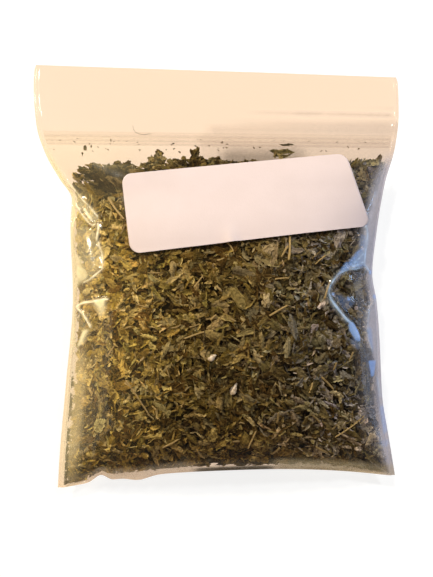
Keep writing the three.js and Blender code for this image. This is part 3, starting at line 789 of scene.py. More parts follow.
def fold_shadow_layers(x, share):
    """The bottom fold's painted shadow, paler on the left, and painted shade where the leaf lies against its
    middle.
    """
    rightwards = smooth(-5, 32, x)
    packed = smooth(-12, -5, x) * smooth(26, 20, x)
    fold = (FOLD_SHADOW_ON_LEFT + FOLD_SHADOW_MORE_ON_RIGHT * rightwards) * smooth(0.034, 0.014, share) * (1 - 0.9 * packed)
    dark = PACKED_FOLD_SHADE * packed * smooth(0.007, 0.002, share)
    return [(fold, blend(FOLD_SHADOW_LEFT, FOLD_SHADOW_RIGHT, rightwards)), (dark, DARK_PAINTED_SHADE)]


def ripple_shade_line(x, y, points, amount):
    """How much painted shade a faint ripple line has: its amount, less towards its ends, and falling off
    quickly to both sides."""
    distance, along = from_line(x, y, points)
    return amount * smooth(0, 0.2, along) * smooth(1, 0.95, along) * bell(distance, RIPPLE_SHADE_WIDTH)


def front_layers(x, y, u, share, white, to_right):
    """A tan painted sheen low beside the left weld, the places of painted shade, the facets' painted
    reflections, the crests' painted highlights and the painted shade of the faint ripple lines."""
    band = smooth(0.85, 0.94, -u) * smooth(0.978, 0.960, -u)
    tan = TAN_SHEEN * leftness(x) * smooth(0.36, 0.30, share) * band
    painted_shade, shine = (
        np.maximum.reduce([amount * cover(x, y, corners, soft) for corners, amount, soft in patches])
        for patches in (PAINTED_SHADES, PAINTED_REFLECTIONS)
    )
    line = np.maximum.reduce([ripple_shade_line(x, y, points, amount) for points, amount in RIPPLE_SHADE_LINES])
    return [
        (tan, TAN_PAINTED_SHEEN),
        (painted_shade, blend(DARK_PAINTED_SHADE, BLUE_PAINTED_SHADE, to_right)),
        (shine, blend(WARM_PAINTED_LIGHT, BLUE_PAINTED_REFLECTION, to_right)),
        (white, blend(WARM_PAINTED_HIGHLIGHT, BLUE_PAINTED_HIGHLIGHT, to_right * smooth(-66, -62, y))),
        (line, WARM_PAINTED_SHADOW),
    ]


def back_layers(x, y, share):
    """The grey painted shadow at the seal, thinner along the seal's clear stripes, and painted shade on the
    leaf's top under it."""
    rightwards = smooth(10, 50, x)
    from_edge = y - (PATCH_EDGE + EDGE_STEP * smooth(-5, -1, x) + EDGE_RISE * smooth(0, 32, x))
    seal_shadow = (SEAL_SHADOW_BASE + PATCH_TOP * smooth(0, -3, from_edge)) * (1 + PATCH_RIGHT * rightwards)
    seal_shadow *= smooth(-9, -4, x) * smooth(40, 45, y) * smooth(0.6, -0.6, from_edge)
    for middle, half, amount in CLEAR_STRIPES:
        seal_shadow *= 1 - amount * stripe((share - ZIP_SHARE) * ROUGH_HEIGHT, middle, half)
    under = UNDER_SEAL_SHADE * smooth(-3, 6, x) * smooth(42, 30, x) * smooth(50.2, 48.6, y) * smooth(40, 44, y)
    return [(seal_shadow, blend(WARM_PAINTED_SHADOW, COOL_PAINTED_SHADOW, rightwards)), (under, DARK_PAINTED_SHADE)]


def haze_and_painted_light(x, y, u, share, white, side):
    """How milky the film is, with its painted light and shade, and in what tone. Layers of painted light and
    shade lie over the spread amount: the strongest counts, and each turns the tone towards its own by its
    part of its own amount and the amount so far."""
    to_right = smooth(-0.1, 0.1, x)
    milk, tone = spread_milk_and_painted_light(x, u, share), blend(WARM_PAINTED_LIGHT, COOL_PAINTED_SHADE, to_right)
    layers = front_layers(x, y, u, share, white, to_right) if side > 0 else back_layers(x, y, share)
    for strength, pale in fold_shadow_layers(x, share) + layers:
        tone = tone + (pale - tone) * (strength / (strength + milk))[..., None]
        milk = np.maximum(milk, strength)
    return milk, tone


# ------------------------------------------------------------------ Label

LABEL_CORNERS = np.array([(-32.5, 8.3), (59.4, 19.3), (50.3, 47.3), (-36.5, 39.0)])
LABEL_SIZE = (90.0, 30.0)
LABEL_RADIUS = 3.8
LABEL_LIFT = 0.06  # gap between film and paper
LABEL_CURL = (0.10, 1.2)  # how far the edges lift, and over what width
LABEL_PUCKER = (0.42, 2.4, 4.5, 0.9)  # place across, reach along the lower edge and up from it, and height
PAPER = 0.13


def label_plan(s, t):
    """A place on the label in plan, from s across and t up, each from 0 to 1."""
    a, b, c, d = LABEL_CORNERS
    s, t = s[..., None], t[..., None]
    return (1 - t) * ((1 - s) * a + s * b) + t * ((1 - s) * d + s * c)


def make_label():
    """The sticker: a grid stretched between its four corners, whose end rows are shortened to a quarter
    circle at each corner. It follows the film, lifts a hair at its edges and has one small pucker in its
    lower edge."""
    width, height = LABEL_SIZE
    end = (1 - np.cos(np.linspace(0, np.pi / 2, 9))) * LABEL_RADIUS / height
    middle = np.linspace(end[-1], 1 - end[-1], 34)
    rows = np.r_[end[:-1], middle, 1 - end[-2::-1]]
    t, s = np.meshgrid(rows, np.linspace(0, 1, 120), indexing="ij")
    from_end = np.minimum(np.minimum(t, 1 - t) * height, LABEL_RADIUS)
    inset = (LABEL_RADIUS - np.sqrt(LABEL_RADIUS**2 - (LABEL_RADIUS - from_end) ** 2)) / width
    s = inset + s * (1 - 2 * inset)
    x, y = np.moveaxis(label_plan(s, t), -1, 0)
    place, along, up, rise = LABEL_PUCKER
    pucker_rise = rise * bell((s - place) * width, along) * bell(t * height, up)
    edge = np.minimum(np.minimum(s, 1 - s) * width, np.minimum(t, 1 - t) * height)
    curl = LABEL_CURL[0] * np.exp(-edge / LABEL_CURL[1])
    lift = FILM_FACE + LABEL_LIFT + pucker_rise + curl
    u, share = place_of(x, y)
    points, faces = closed_sheet(inside(u, share, 1, -(lift + PAPER)), inside(u, share, 1, -lift))
    finish(add_mesh("label_sheet", points, faces, label_material), "label", "label")


# ------------------------------------------------------------------ Film


def film_columns(middle, flank):
    """Columns from -1 to 1, wide apart in the middle and close together on the flanks, where the creases
    are."""
    round_over = 0.97 + 0.03 * np.sin(np.linspace(0, np.pi / 2, flank // 5 + 1))[1:]
    flanks = np.r_[np.linspace(0.66, 0.97, flank - flank // 5), round_over]
    return np.r_[-flanks[::-1], np.linspace(-0.66, 0.66, middle + 2)[1:-1], flanks]


# Spans of rows, from share to share, and the part of the rows in each: the most where the creases are.
ROW_SPANS = [(0, 0.06, 0.09), (0.06, 0.22, 0.13), (0.22, 0.76, 0.68), (0.76, 1, 0.10)]
FOLD_ROWS = 4
LIP_DROOP = 1.8
# Where the fold's empty film hangs out, over what width and how far.
FLAPS = [(-30.0, 5.0, 1.5), (-41.0, 2.6, 0.3)]


def film_rows(count):
    """Rows from 0 at the bottom fold to 1 at the mouth."""
    return np.concatenate([
        np.linspace(low, high, round(count * part), endpoint=high == 1) for low, high, part in ROW_SPANS
    ])


def bottom_flap(x):
    """How far the empty film at the bottom fold hangs out along it."""
    return -sum(reach * bell(x - middle, width) for middle, width, reach in FLAPS)


def lip_wave(x, y):
    """The free lip's slow waves, the same on both panels."""
    return 0.5 * np.sin(x / 21 + 0.6) + 0.2 * np.sin(x / 8.3 + y / 15) - 0.2


def creased_part(x, y, u, share, side):
    """1 where the film is free to crease: not on the welds, the fold, the seal or the lip, nor under the
    label."""
    free = smooth(1.0, 0.97, np.abs(u)) * smooth(0.0, 0.012, share) * smooth(0.85, 0.78, share)
    return free * (1 - cover(x, y, LABEL_CORNERS, 1.0)) if side > 0 else free


def half_round(bottom, side):
    """The rows of a panel's half of the round fold, from the height of the weld to the panel's bottom
    row."""
    middle = bottom * [1, 1, 0] + [0, 0, 1] * np.broadcast_to(weld_z(0.0), bottom[..., :1].shape)
    radius = np.abs(bottom[..., 2:] - middle[..., 2:])
    turn = np.linspace(0, np.pi / 2, FOLD_ROWS + 1)[:-1, None, None]
    return middle + radius * (np.cos(turn) * [0, -1, 0] + side * np.sin(turn) * [0, 0, 1])


def make_film(name, side, columns, rows, creases):
    """One panel of the film: the pouch's outer face with its creases, the flat welds at its sides, its half
    of the round fold at its bottom and the free lip at its top, then given its thickness. It throws no
    shadow, because so clear a film lets nearly all the light through."""
    weld = np.linspace(1, 2, 4)[1:]
    share, u = np.meshgrid(rows, np.r_[-weld[::-1], columns, weld], indexing="ij")
    wall = FILM_FACE + (WELD_FACE - FILM_FACE) * smooth(0.975, 1.02, np.abs(u))
    smooth_face = face(u, share, side, wall)
    normal = unit(side * np.cross(np.gradient(smooth_face, axis=1), np.gradient(smooth_face, axis=0)))
    x, y = smooth_face[..., 0], smooth_face[..., 1]
    height, white = relief(x, y, creases)
    milk, tone = haze_and_painted_light(x, y, u, share, white, side)
    points = smooth_face + normal * (height * creased_part(x, y, u, share, side))[..., None]
    points[..., 2] = np.maximum(points[..., 2], CAD_WALL - FILM_FACE)
    points[..., 2] += (lip_wave(x, y) - LIP_DROOP) * smooth(0.87, 1.0, share)
    points[..., 1] += bottom_flap(x) * smooth(0.05, 0.0, share)
    points = np.concatenate([half_round(points[:1], side), points])
    milk, tone, share = (
        np.concatenate([np.repeat(v[:1], FOLD_ROWS, axis=0), v]) for v in (milk, tone, share)
    )
    pouch = smooth(0.84, 0.76, share)
    values = {"milk": milk, "loose": 0.25 + 0.75 * pouch, "gleam": 0.2 + 0.8 * pouch}
    faces = grid_faces(*share.shape, flip=side < 0)
    piece = add_mesh(name, points, [faces], film_plastic, colours=tone, values=values)
    solid = piece.modifiers.new("thickness", "SOLIDIFY")
    solid.thickness = FILM_THICKNESS * MM
    solid.offset = -1.0
    solid.use_even_offset = False
    piece.visible_shadow = False
    finish(piece, "film", "bag_film")


# ------------------------------------------------------------------ Seal

ZIP_SHARE = 0.83
# Grey of the seal's faint milkiness and of its stripes of painted shade.
ZIP_MILK_AND_SHADE = (0.30, 0.26, 0.26)
ZIP_REACH = 0.985
ZIP_HALF = 2.6  # half a strip's width
ZIP_SEAT = 0.15
SEAL_OPENING = 1.05  # how far each panel stands off the welds' height where the strips have their full depth
# Stripes along the seal, the dark ones painted shade of its grooves: distance of each from its middle
# towards the mouth, half width and amount.
GROOVE_SHADE_STRIPES = ((1.0, 0.5, 0.13), (-0.85, 0.42, 0.13), (-2.1, 0.42, 0.15))
CLEAR_STRIPES = ((2.2, 0.65, 0.85), (0.0, 0.35, 0.6), (-2.95, 0.3, 0.9))  # where the patch behind it is thin
# Half of each strip's section: distance from its middle, and depth under its film.
ZIP_CHANNEL = [
    (ZIP_HALF, ZIP_SEAT), (ZIP_HALF, 0.62), (2.35, 0.62), (2.35, 0.40), (1.9, 0.40), (1.9, 0.52), (1.7, 0.52),
    (1.7, 0.40), (1.40, 0.45), (1.40, 1.40), (0.55, 1.40), (0.62, 1.16), (1.0, 1.16), (1.0, 0.45),
]
ZIP_RIB = [
    (ZIP_HALF, ZIP_SEAT), (ZIP_HALF, 0.55), (2.4, 0.55), (2.4, 0.40), (0.25, 0.45), (0.25, 1.25),
    (0.78, 1.25), (0.55, 1.52),
]


def zip_groove_shade(across, on_top):
    """How milky the seal is, by the distance from its middle towards the mouth: a trace, and three grey
    stripes of painted shade from its grooves, on its top face only."""
    stripes = sum(amount * stripe(across, middle, half) for middle, half, amount in GROOVE_SHADE_STRIPES)
    return 0.01 + np.where(on_top, stripes, 0.0)


def make_zip(name, half, side, node):
    """A strip of the seal: half of its section and its mirror image, carried along the film at the seal's
    height and made shallower towards the welds, which crush it. Its top is cut into fine columns for its
    stripes of painted shade."""
    across = np.linspace(-ZIP_HALF, ZIP_HALF, 27)[1:-1]
    outline = np.array(half + [(-a, d) for a, d in half[::-1]] + [(a, ZIP_SEAT) for a in across])
    height = (left_y(1.0) - left_y(0.0) + right_y(1.0) - right_y(0.0)) / 2
    u, along = np.meshgrid(np.linspace(-ZIP_REACH, ZIP_REACH, 121), outline[:, 0], indexing="ij")
    points = face(u, ZIP_SHARE + along / height, side)
    squeeze = np.minimum(1, gape(ZIP_SHARE) * section(u, SLOT) / SEAL_OPENING)
    points[..., 2] -= side * np.broadcast_to(outline[:, 1], u.shape) * squeeze
    faces = tube_faces(*u.shape)
    if side < 0:
        faces = [f[:, ::-1] for f in faces]
    milk = np.broadcast_to(zip_groove_shade(outline[:, 0], (outline[:, 1] <= ZIP_SEAT) & (side > 0)), u.shape)
    tone = np.broadcast_to(ZIP_MILK_AND_SHADE, points.shape)
    values = {"milk": milk, "loose": np.zeros(u.shape), "gleam": np.full(u.shape, 0.5)}
    piece = add_mesh(name, points, faces, zip_plastic, colours=tone, values=values)
    piece.data.polygons.foreach_set("use_smooth", np.zeros(len(piece.data.polygons), bool))
    piece.visible_shadow = False
    finish(piece, "zip", node)


# ------------------------------------------------------------------ Leaf

# How far the leaf reaches: towards the mouth by u, towards the left and the right weld by share, and towards
# the bottom fold by u.
HERB_TOP = curve([
    (-1, 0.70), (-0.9, 0.725), (-0.75, 0.762), (-0.5, 0.772), (-0.2, 0.782), (0.2, 0.775), (1, 0.785),
])
HERB_LEFT = curve([
    (0, 0.966), (0.2, 0.963), (0.33, 0.970), (0.37, 0.988), (0.47, 0.985), (0.505, 0.935), (0.54, 0.935),
    (0.565, 0.985), (0.8, 0.985),
])
HERB_RIGHT = curve([
    (0, 0.985), (0.17, 0.985), (0.28, 0.978), (0.32, 0.955), (0.367, 0.938), (0.405, 0.95), (0.43, 0.992),
    (0.5, 0.992), (0.525, 0.955), (0.586, 0.935), (0.65, 0.945), (0.8, 0.985),
])
HERB_BOTTOM = curve([
    (-1, 0.007), (-0.2, 0.006), (0.0, 0.002), (0.3, 0.002), (0.42, 0.010), (0.7, 0.010), (1, 0.006),
])

# Tones of the flakes, and how often each is drawn.
TONES = np.array([
    (0.045, 0.024, 0.0028),
    (0.100, 0.069, 0.0130),
    (0.178, 0.134, 0.0370),
    (0.262, 0.205, 0.0790),
    (0.392, 0.314, 0.1420),
    (0.184, 0.155, 0.0780),
])
TONE_SHARES = [0.17, 0.24, 0.24, 0.16, 0.07, 0.12]
PALEST = 0.86  # the most that any channel of a flake's tone may be


def tones(count, lift=1.0):
    """Flake tones: one of the palette for each, a little lighter or darker."""
    picked = TONES[rng.choice(len(TONES), count, p=TONE_SHARES)]
    return picked * lift * rng.uniform(0.72, 1.35, (count, 1)) * rng.normal(1, 0.03, (count, 3))


def metric(u, share, side):
    """Millimetres on the film for one step of u and for one of share."""
    step = 0.002
    across = np.linalg.norm(face(u + step, share, side) - face(u - step, share, side), axis=-1) / (2 * step)
    along = np.linalg.norm(face(u, share + step, side) - face(u, share - step, side), axis=-1) / (2 * step)
    return across, along


MOST_SURFACE = 62 * 175  # more square millimetres than the film has anywhere for one step of u and of share


def scatter(count, side, inset=0.0):
    """Random places on one side of the leaf. Each is drawn evenly over u and share and kept with a chance
    that goes with the film's surface for a step there, which spreads them evenly over that surface. They lie
    within the leaf's uneven edges, and at least inset, as a share of the bag's height, below its top."""
    tries = 4 * count
    u, share = np.empty(0), np.empty(0)
    while len(u) < count:
        u0 = rng.uniform(-0.99, 0.99, tries)
        share0 = rng.uniform(0, 0.80, tries)
        edge = np.where(u0 < 0, HERB_LEFT(share0), HERB_RIGHT(share0)) + rng.normal(0, 0.012, tries)
        top = HERB_TOP(u0) - inset - np.abs(rng.normal(0, 0.008, tries))
        across, along = metric(u0, share0, side)
        within = (np.abs(u0) < edge) & (share0 < top) & (share0 > HERB_BOTTOM(u0))
        keep = within & (rng.uniform(0, MOST_SURFACE, tries) < across * along)
        u, share = np.r_[u, u0[keep]], np.r_[share, share0[keep]]
    return u[:count], share[:count]


def room_under(u, share):
    """How deep leaf may lie: a little less than half the pouch's own thickness."""
    return 0.47 * (face(u, share, 1)[..., 2] - face(u, share, -1)[..., 2])


ONE_EACH = (slice(None), None, None)  # gives every point of a flake's grid that flake's own number


def over_flake(grid):
    """p from end to end and q from side to side over a flake's grid, each from -1 to 1."""
    return np.meshgrid(*(np.linspace(-1, 1, count) for count in grid), indexing="ij")


def turned(x, y, angle):
    """x and y, turned by an angle about the origin."""
    cos, sin = np.cos(angle), np.sin(angle)
    return x * cos - y * sin, x * sin + y * cos


# Half widths at a flake's ends, as shares of its middle's: at most, and at least.
BLUNTEST, NARROWEST = 0.8, 0.06
SLANT, BOW = 0.15, 0.07  # how much flakes are sheared, and how much they are bowed from end to end
VEIN_SCALE = 0.62  # cells of the net of veins to a millimetre


def curled(length, width, grid, roll=0.5, fold=0.5, twist=0.5, pitch=0.35, ragged=0.25, crinkle=0.12,
           blister=0.0, scallop=0.0):
    """Flakes before they are laid, all at once: how far along, across and up each point lies, and its place
    in the flat leaf. A flake's half width runs over a bulge between two blunt ends, with ragged edges. It is
    rolled into an arc across and folded along its midrib, then twisted round its length and pitched on its
    end. Blister is the height of the puckers between its veins and scallop the depth of its scalloped
    edge."""
    n, shape = len(length), (len(length), *grid)
    p, q = over_flake(grid)
    ends = rng.uniform(0.0, BLUNTEST, (n, 2))
    blunt = ends[:, :1, None] * (1 - p) / 2 + ends[:, 1:, None] * (1 + p) / 2
    wide = blunt + (1 - blunt) * (1 - np.abs(p) ** 2.2)
    stretch = rng.uniform(1 - ragged / 2, 1 + ragged / 2, shape)
    a = length[ONE_EACH] * (p * stretch + q * rng.normal(0, SLANT, (n, 1, 1)))
    b = width[ONE_EACH] * q * np.maximum(wide, NARROWEST) * rng.uniform(1 - ragged, 1 + ragged, shape)
    b = b * (1 - scallop * np.abs(q) ** 3 * np.abs(np.cos(a * 2.4)))
    flat = np.stack([a, b], axis=-1) * VEIN_SCALE + rng.uniform(0, 60, (n, 1, 1, 2))
    arc = np.abs(rng.normal(0, roll, n))[ONE_EACH] / np.maximum(width, 0.3)[ONE_EACH] + 1e-3
    rise = (1 - np.cos(b * arc)) / arc + np.abs(b) * np.abs(rng.normal(0, fold, (n, 1, 1)))
    b = np.sin(b * arc) / arc
    rise += rng.normal(0, crinkle, shape) * np.minimum(width, 1.6)[ONE_EACH]
    rise += a**2 * rng.normal(0, BOW, (n, 1, 1))
    rise += blister * np.sin(flat[..., 0] * 5.6) * np.sin(flat[..., 1] * 6.4 + flat[..., 0] * 1.3)
    rise *= rng.choice([-1, 1], n)[ONE_EACH]
    spin = rng.normal(0, twist, n)[ONE_EACH] + p * rng.normal(0, twist, n)[ONE_EACH]
    b, rise = turned(b, rise, spin)
    a, rise = turned(a, rise, rng.normal(0, pitch, n)[ONE_EACH])
    return a, b, rise, flat


LAST_U = 0.992  # how far towards the welds flakes may reach
FIRST_SHARE, LAST_SHARE = 0.004, 0.83  # and how far down and up
LEAST_DEPTH = 0.05


def laid(u, share, side, depth, a, b, rise, turn):
    """Flakes laid in the leaf: each is turned in the film's plane, its highest point lies at its depth under
    the film, and what would reach deeper than there is room is pressed flat."""
    across, along = metric(u, share, side)
    a, b = turned(a, b, turn[ONE_EACH])
    u = np.clip(u[ONE_EACH] + a / across[ONE_EACH], -LAST_U, LAST_U)
    share = np.clip(share[ONE_EACH] + b / along[ONE_EACH], FIRST_SHARE, LAST_SHARE)
    below = depth[ONE_EACH] + rise.max(axis=(1, 2), keepdims=True) - rise
    below = np.minimum(below, room_under(u, share) + rng.uniform(0, 0.1, a.shape))
    return inside(u, share, side, np.maximum(below, LEAST_DEPTH))


def copies(faces, size, count):
    """The faces of count things alike, whose points follow one another, size at a time."""
    return (faces + size * np.arange(count)[:, None, None]).reshape(-1, faces.shape[1])


def two_sheets(upper, lower):
    """Points, or what else each point has, of closed flakes, flake by flake: the upper sheet's, then the
    lower one's without the rim that they share."""
    n, numbers = len(upper), upper.shape[-1]
    sheets = [upper.reshape(n, -1, numbers), lower[:, 1:-1, 1:-1].reshape(n, -1, numbers)]
    return np.concatenate(sheets, axis=1)


def two_sheet_faces(stations, strips):
    """Faces of one flake whose points are in that order."""
    size, core = stations * strips, (stations - 2) * (strips - 2)
    lower = np.arange(size).reshape(stations, strips)
    lower[1:-1, 1:-1] = size + np.arange(core).reshape(stations - 2, strips - 2)
    upper_faces = grid_faces(stations, strips, flip=True)
    return np.concatenate([upper_faces, lower.ravel()[upper_faces][:, ::-1]])


def sharpen_rims(piece, stations, strips, points_each):
    """Marks each flake's rim, the edges between two points of its border, as a hard edge."""
    mesh = piece.data
    ends = np.empty(2 * len(mesh.edges), np.int32)
    mesh.edges.foreach_get("vertices", ends)
    local = ends.reshape(-1, 2) % points_each
    row, column = local // strips, local % strips
    border = (row == 0) | (row == stations - 1) | (column == 0) | (column == strips - 1)
    hard = mesh.attributes.new("sharp_edge", "BOOLEAN", "EDGE")
    hard.data.foreach_set("value", (border & (local < stations * strips)).all(axis=1))


RIM_LIFT = 0.5  # how much lighter a flake's torn edge is than its middle


def make_flakes(name, u, share, side, depth, length, width, tone, grid, turn=None, thick=0.07, **form):
    """A piece of thin closed flakes. Each is two sheets, thick off its middle on either side, that meet at
    its rim, which is lighter than the rest."""
    n = len(u)
    a, b, rise, flat = curled(length, width, grid, **form)
    turn = rng.uniform(0, 2 * np.pi, n) if turn is None else turn
    middle = laid(u, share, side, depth, a, b, rise, turn)
    half = thick * unit(np.cross(np.gradient(middle, axis=1), np.gradient(middle, axis=2)))
    outer = middle.copy()
    outer[:, 1:-1, 1:-1] += half[:, 1:-1, 1:-1]
    points = two_sheets(outer, middle - half)
    p, q = over_flake(grid)
    rim = 1 + RIM_LIFT * np.maximum(np.abs(p) ** 8, np.abs(q) ** 4)
    shade = tone[:, None, None] * (rim * rng.uniform(0.85, 1.15, a.shape))[..., None]
    shade *= np.minimum(1, PALEST / shade.max(axis=-1, keepdims=True))
    points_each = points.shape[1]
    faces = copies(two_sheet_faces(*grid), points_each, n)
    flat, shade = two_sheets(flat, flat), two_sheets(shade, shade)
    piece = add_mesh(name, points, [faces], leaf_material, uv=flat, colours=shade)
    sharpen_rims(piece, *grid, points_each)
    finish(piece, "leaf", "dried_leaf_bed")


def painted_daylight(x, y):
    """Painted light: what the leaf's tones are multiplied by at places in plan, as if warm light fell from
    the
    left and cool light from the right: it is paler and yellower towards the left, but for its top, greyer
    towards the right and paler at the bottom, and darker and lighter in patches."""
    left = smooth(0, -50, x) * smooth(38, 22, y) * (1 - 0.4 * smooth(-30, -60, y))
    right, low = smooth(5, 50, x), smooth(-48, -76, y)
    patches = 1 + 0.22 * np.sin(x / 6.5 + 1.4 * np.sin(y / 9)) * np.sin(y / 5.5 + 1.4 * np.sin(x / 11))
    lifts = ((left, (1.95, 1.98, 1.60)), (right, (0.16, 0.40, 2.1)), (low, (0.80, 0.72, 0.50)))
    return patches[:, None] * (1 + sum(amount[:, None] * np.array(lift) for amount, lift in lifts))


CLEAR_DROP = 1.6  # how much deeper strewn leaf lies where the front is kept clear


def strew(name, count, side, depths, lengths, widths, grid, lift=1.0, inset=0.0, **form):
    """A layer of flakes strewn over one side of the leaf, which lie deeper wherever the front is kept
    clear."""
    u, share = scatter(count, side, inset)
    x, y = plan(u, share)
    length = rng.uniform(*lengths, count)
    width = np.minimum(rng.uniform(*widths, count), length)
    depth = rng.uniform(*depths, count)
    for x0, y0, reach in KEPT_CLEAR if side > 0 else []:
        depth += CLEAR_DROP * (np.hypot(x - x0, y - y0) < reach + 0.5 * length)
    depth = np.minimum(depth, room_under(u, share))
    tone = tones(count, lift) * painted_daylight(x, y)
    make_flakes(name, u, share, side, depth, length, width, tone, grid, **form)


CORE_DEPTH = 3.3  # under the film
CORE_ROWS, CORE_COLUMNS = 130, 121
CORE_BACK = 0.035  # how far the core stays back from the leaf's side edges, in u


def make_core():
    """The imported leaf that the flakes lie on, a closed lumpy cushion a little under them. Its columns lie
    closer together near its sides."""
    columns = np.sin(np.linspace(-np.pi / 2, np.pi / 2, CORE_COLUMNS))
    t, u = np.meshgrid(np.linspace(0, 1, CORE_ROWS), columns, indexing="ij")
    beside = 0.1 + 0.66 * t
    u = u * (np.where(u < 0, HERB_LEFT(beside), HERB_RIGHT(beside)) - CORE_BACK)
    low = HERB_BOTTOM(u) + 0.008
    share = low + t * (HERB_TOP(u) - 0.03 - low)
    layers = []
    for side in (1, -1):
        lumps = rng.uniform(-0.7, 0.7, u.shape)
        lumps = (lumps + np.roll(lumps, 1, 0) + np.roll(lumps, 1, 1)) / 1.8
        depth = np.minimum(CORE_DEPTH + lumps, room_under(u, share) * 0.9)
        layers.append(inside(u, share, side, depth))
    finish(add_mesh("leaf_core", *closed_sheet(*layers), core_material), "leaf", "dried_leaf_bed")


# ------------------------------------------------------------------ Stalks and pale bits

# The stalks that the part names, each from one place in plan to another, with its radius.
NAMED_STALKS = [
    ((27.9, 6.2), (28.2, 15.9), 0.8), ((20.5, -15.2), (27.6, -11.1), 0.6),
    ((22.6, -1.2), (28.0, -0.7), 0.5), ((41.8, -8.6), (43.6, -3.2), 0.7),
    ((46.0, -62.2), (57.4, -54.0), 0.42), ((40.6, -38.8), (45.2, -43.5), 0.7),
    ((-34.6, -40.0), (-25.4, -53.8), 0.7), ((-41.9, -31.0), (-39.2, -26.8), 0.6),
    ((-41.6, 30.4), (-35.4, 22.0), 0.7), ((-12.0, -24.0), (-4.6, -21.4), 0.6),
    ((-20.6, -66.4), (-13.8, -62.6), 0.6), ((12.4, -66.8), (15.4, -59.8), 0.6),
]
RADIUS_KEPT = 0.62  # how thick the stalks are, as a share of the part's
STALK_DEPTH = 0.22
LOOSE_STALKS = 70
STRAW = np.array([0.60, 0.46, 0.20])
STALK_SIDES = 8
# Rings along a stalk: how far along each lies, and how thick the stalk is there.
STALK_ALONG = np.array([0.0, 0.0, 0.04, 0.2, 0.4, 0.6, 0.8, 0.96, 1.0, 1.0])
STALK_GIRTH = np.array([0.0, 0.82, 1.0, 0.97, 1.03, 0.96, 1.0, 0.94, 0.78, 0.0])[:, None]


def stalk_mesh(start, end, radius, depth, bend=0.05):
    """Bits of dry stalk, all at once: an eight-sided rod with lengthwise ridges from each start to its end,
    a little bowed and flattened, thinner at one end, and torn off unevenly at both."""
    n = len(start)
    t, angle = np.meshgrid(STALK_ALONG, np.arange(STALK_SIDES) * 2 * np.pi / STALK_SIDES, indexing="ij")
    length = np.linalg.norm(end - start, axis=1)
    ahead = (end - start) / length[:, None]
    aside = np.stack([-ahead[:, 1], ahead[:, 0]], axis=-1)
    radius, length = radius[ONE_EACH], length[ONE_EACH]
    at_end = ((t == 0) | (t == 1)) & (STALK_GIRTH > 0)
    distance = t * length + rng.uniform(-0.6, 0.6, (n, *t.shape)) * at_end * radius
    bow = rng.normal(0, bend, n)[ONE_EACH] * length * 4 * t * (1 - t)
    taper = 1 - rng.uniform(0, 0.35, n)[ONE_EACH] * t
    thick = radius * STALK_GIRTH * taper * rng.uniform(0.86, 1.12, (n, 1, STALK_SIDES))
    lateral = bow + thick * np.cos(angle)
    start, ahead, aside = (v[:, None, None] for v in (start, ahead, aside))
    plane = start + distance[..., None] * ahead + lateral[..., None] * aside
    below = depth[ONE_EACH] + (radius - thick * np.sin(angle)) * 0.8
    points = inside(*place_of(plane[..., 0], plane[..., 1]), 1, below)
    faces = copies(tube_faces(*t.shape)[0], t.size, n)
    flat = np.stack(np.broadcast_arrays(distance * 0.35, angle / 3 + np.arange(n)[ONE_EACH] * 7.0), axis=-1)
    return points, faces, flat


def add_stalks(name, start, end, radius, depth, shades, nodes=(), **form):
    """A piece of stalks, each of straw that is darkened to somewhere between the two shades."""
    points, faces, flat = stalk_mesh(start, end, radius, depth, **form)
    tone = (STRAW * rng.uniform(*shades, (len(start), 1)))[:, None, None]
    tone = np.broadcast_to(tone, points.shape)
    finish(add_mesh(name, points, [faces], stalk_material, uv=flat, colours=tone), "stalk", *nodes)


def make_stalks():
    """The named stalks, and loose ones strewn among the flakes."""
    start, end = (np.array([row[i] for row in NAMED_STALKS]) for i in (0, 1))
    radius = np.array([row[2] for row in NAMED_STALKS]) * RADIUS_KEPT
    depth = np.full(len(start), STALK_DEPTH)
    nodes = [f"stalk_{i + 1:02d}" for i in range(len(start))]
    add_stalks("stalk_pieces", start, end, radius, depth, (0.65, 1.0), nodes, bend=0.02)
    u, share = scatter(LOOSE_STALKS, 1)
    start = np.stack(plan(u * 0.95, np.clip(share, 0.03, 0.75)), axis=-1)
    turn = rng.uniform(0, 2 * np.pi, LOOSE_STALKS)
    length = rng.uniform(1.5, 5.5, LOOSE_STALKS)[:, None]
    end = start + length * np.stack([np.cos(turn), np.sin(turn)], axis=-1)
    radius = rng.uniform(0.18, 0.5, LOOSE_STALKS)
    depth = rng.uniform(0.1, 0.7, LOOSE_STALKS)
    add_stalks("loose_stalks", start, end, radius, depth, (0.4, 0.9))


PALE_BITS = [((-1.4, -31.2), 4.0, 0.5), ((6.9, -43.4), 5.2, 1.15)]  # centre in plan, length and turn
PALE_RADIUS, PALE_DEPTH = 1.45, 0.12


def make_pale_bits():
    """Two dried calyces: small ribbed bells, closed at the stalk end and pinched in at their mouths."""
    t, angle = np.meshgrid(np.linspace(0, 1, 13), np.arange(20) * np.pi / 10, indexing="ij")
    swell = np.sin(np.pi * t**0.8) ** 0.7 * (1 - 0.35 * t) + 0.02
    ribs = 1 + 0.09 * np.cos(angle * 5) * np.sin(np.pi * t)
    girth = PALE_RADIUS * swell * ribs * (1 + 0.2 * np.cos(angle * 2 + 1.0 + 3 * t))
    below = PALE_DEPTH + girth.max() - girth * np.sin(angle)
    for i, ((x, y), length, turn) in enumerate(PALE_BITS):
        a, b = turned((t - 0.5) * length, girth * np.cos(angle), turn)
        points = inside(*place_of(x + a, y + b), 1, below)
        piece = add_mesh(f"pale_bit_{i + 1}", points, tube_faces(*t.shape), calyx_material)
        finish(piece, "pale_bit", f"pale_bit_{i + 1:02d}")


# ------------------------------------------------------------------ Leaf with a place of its own

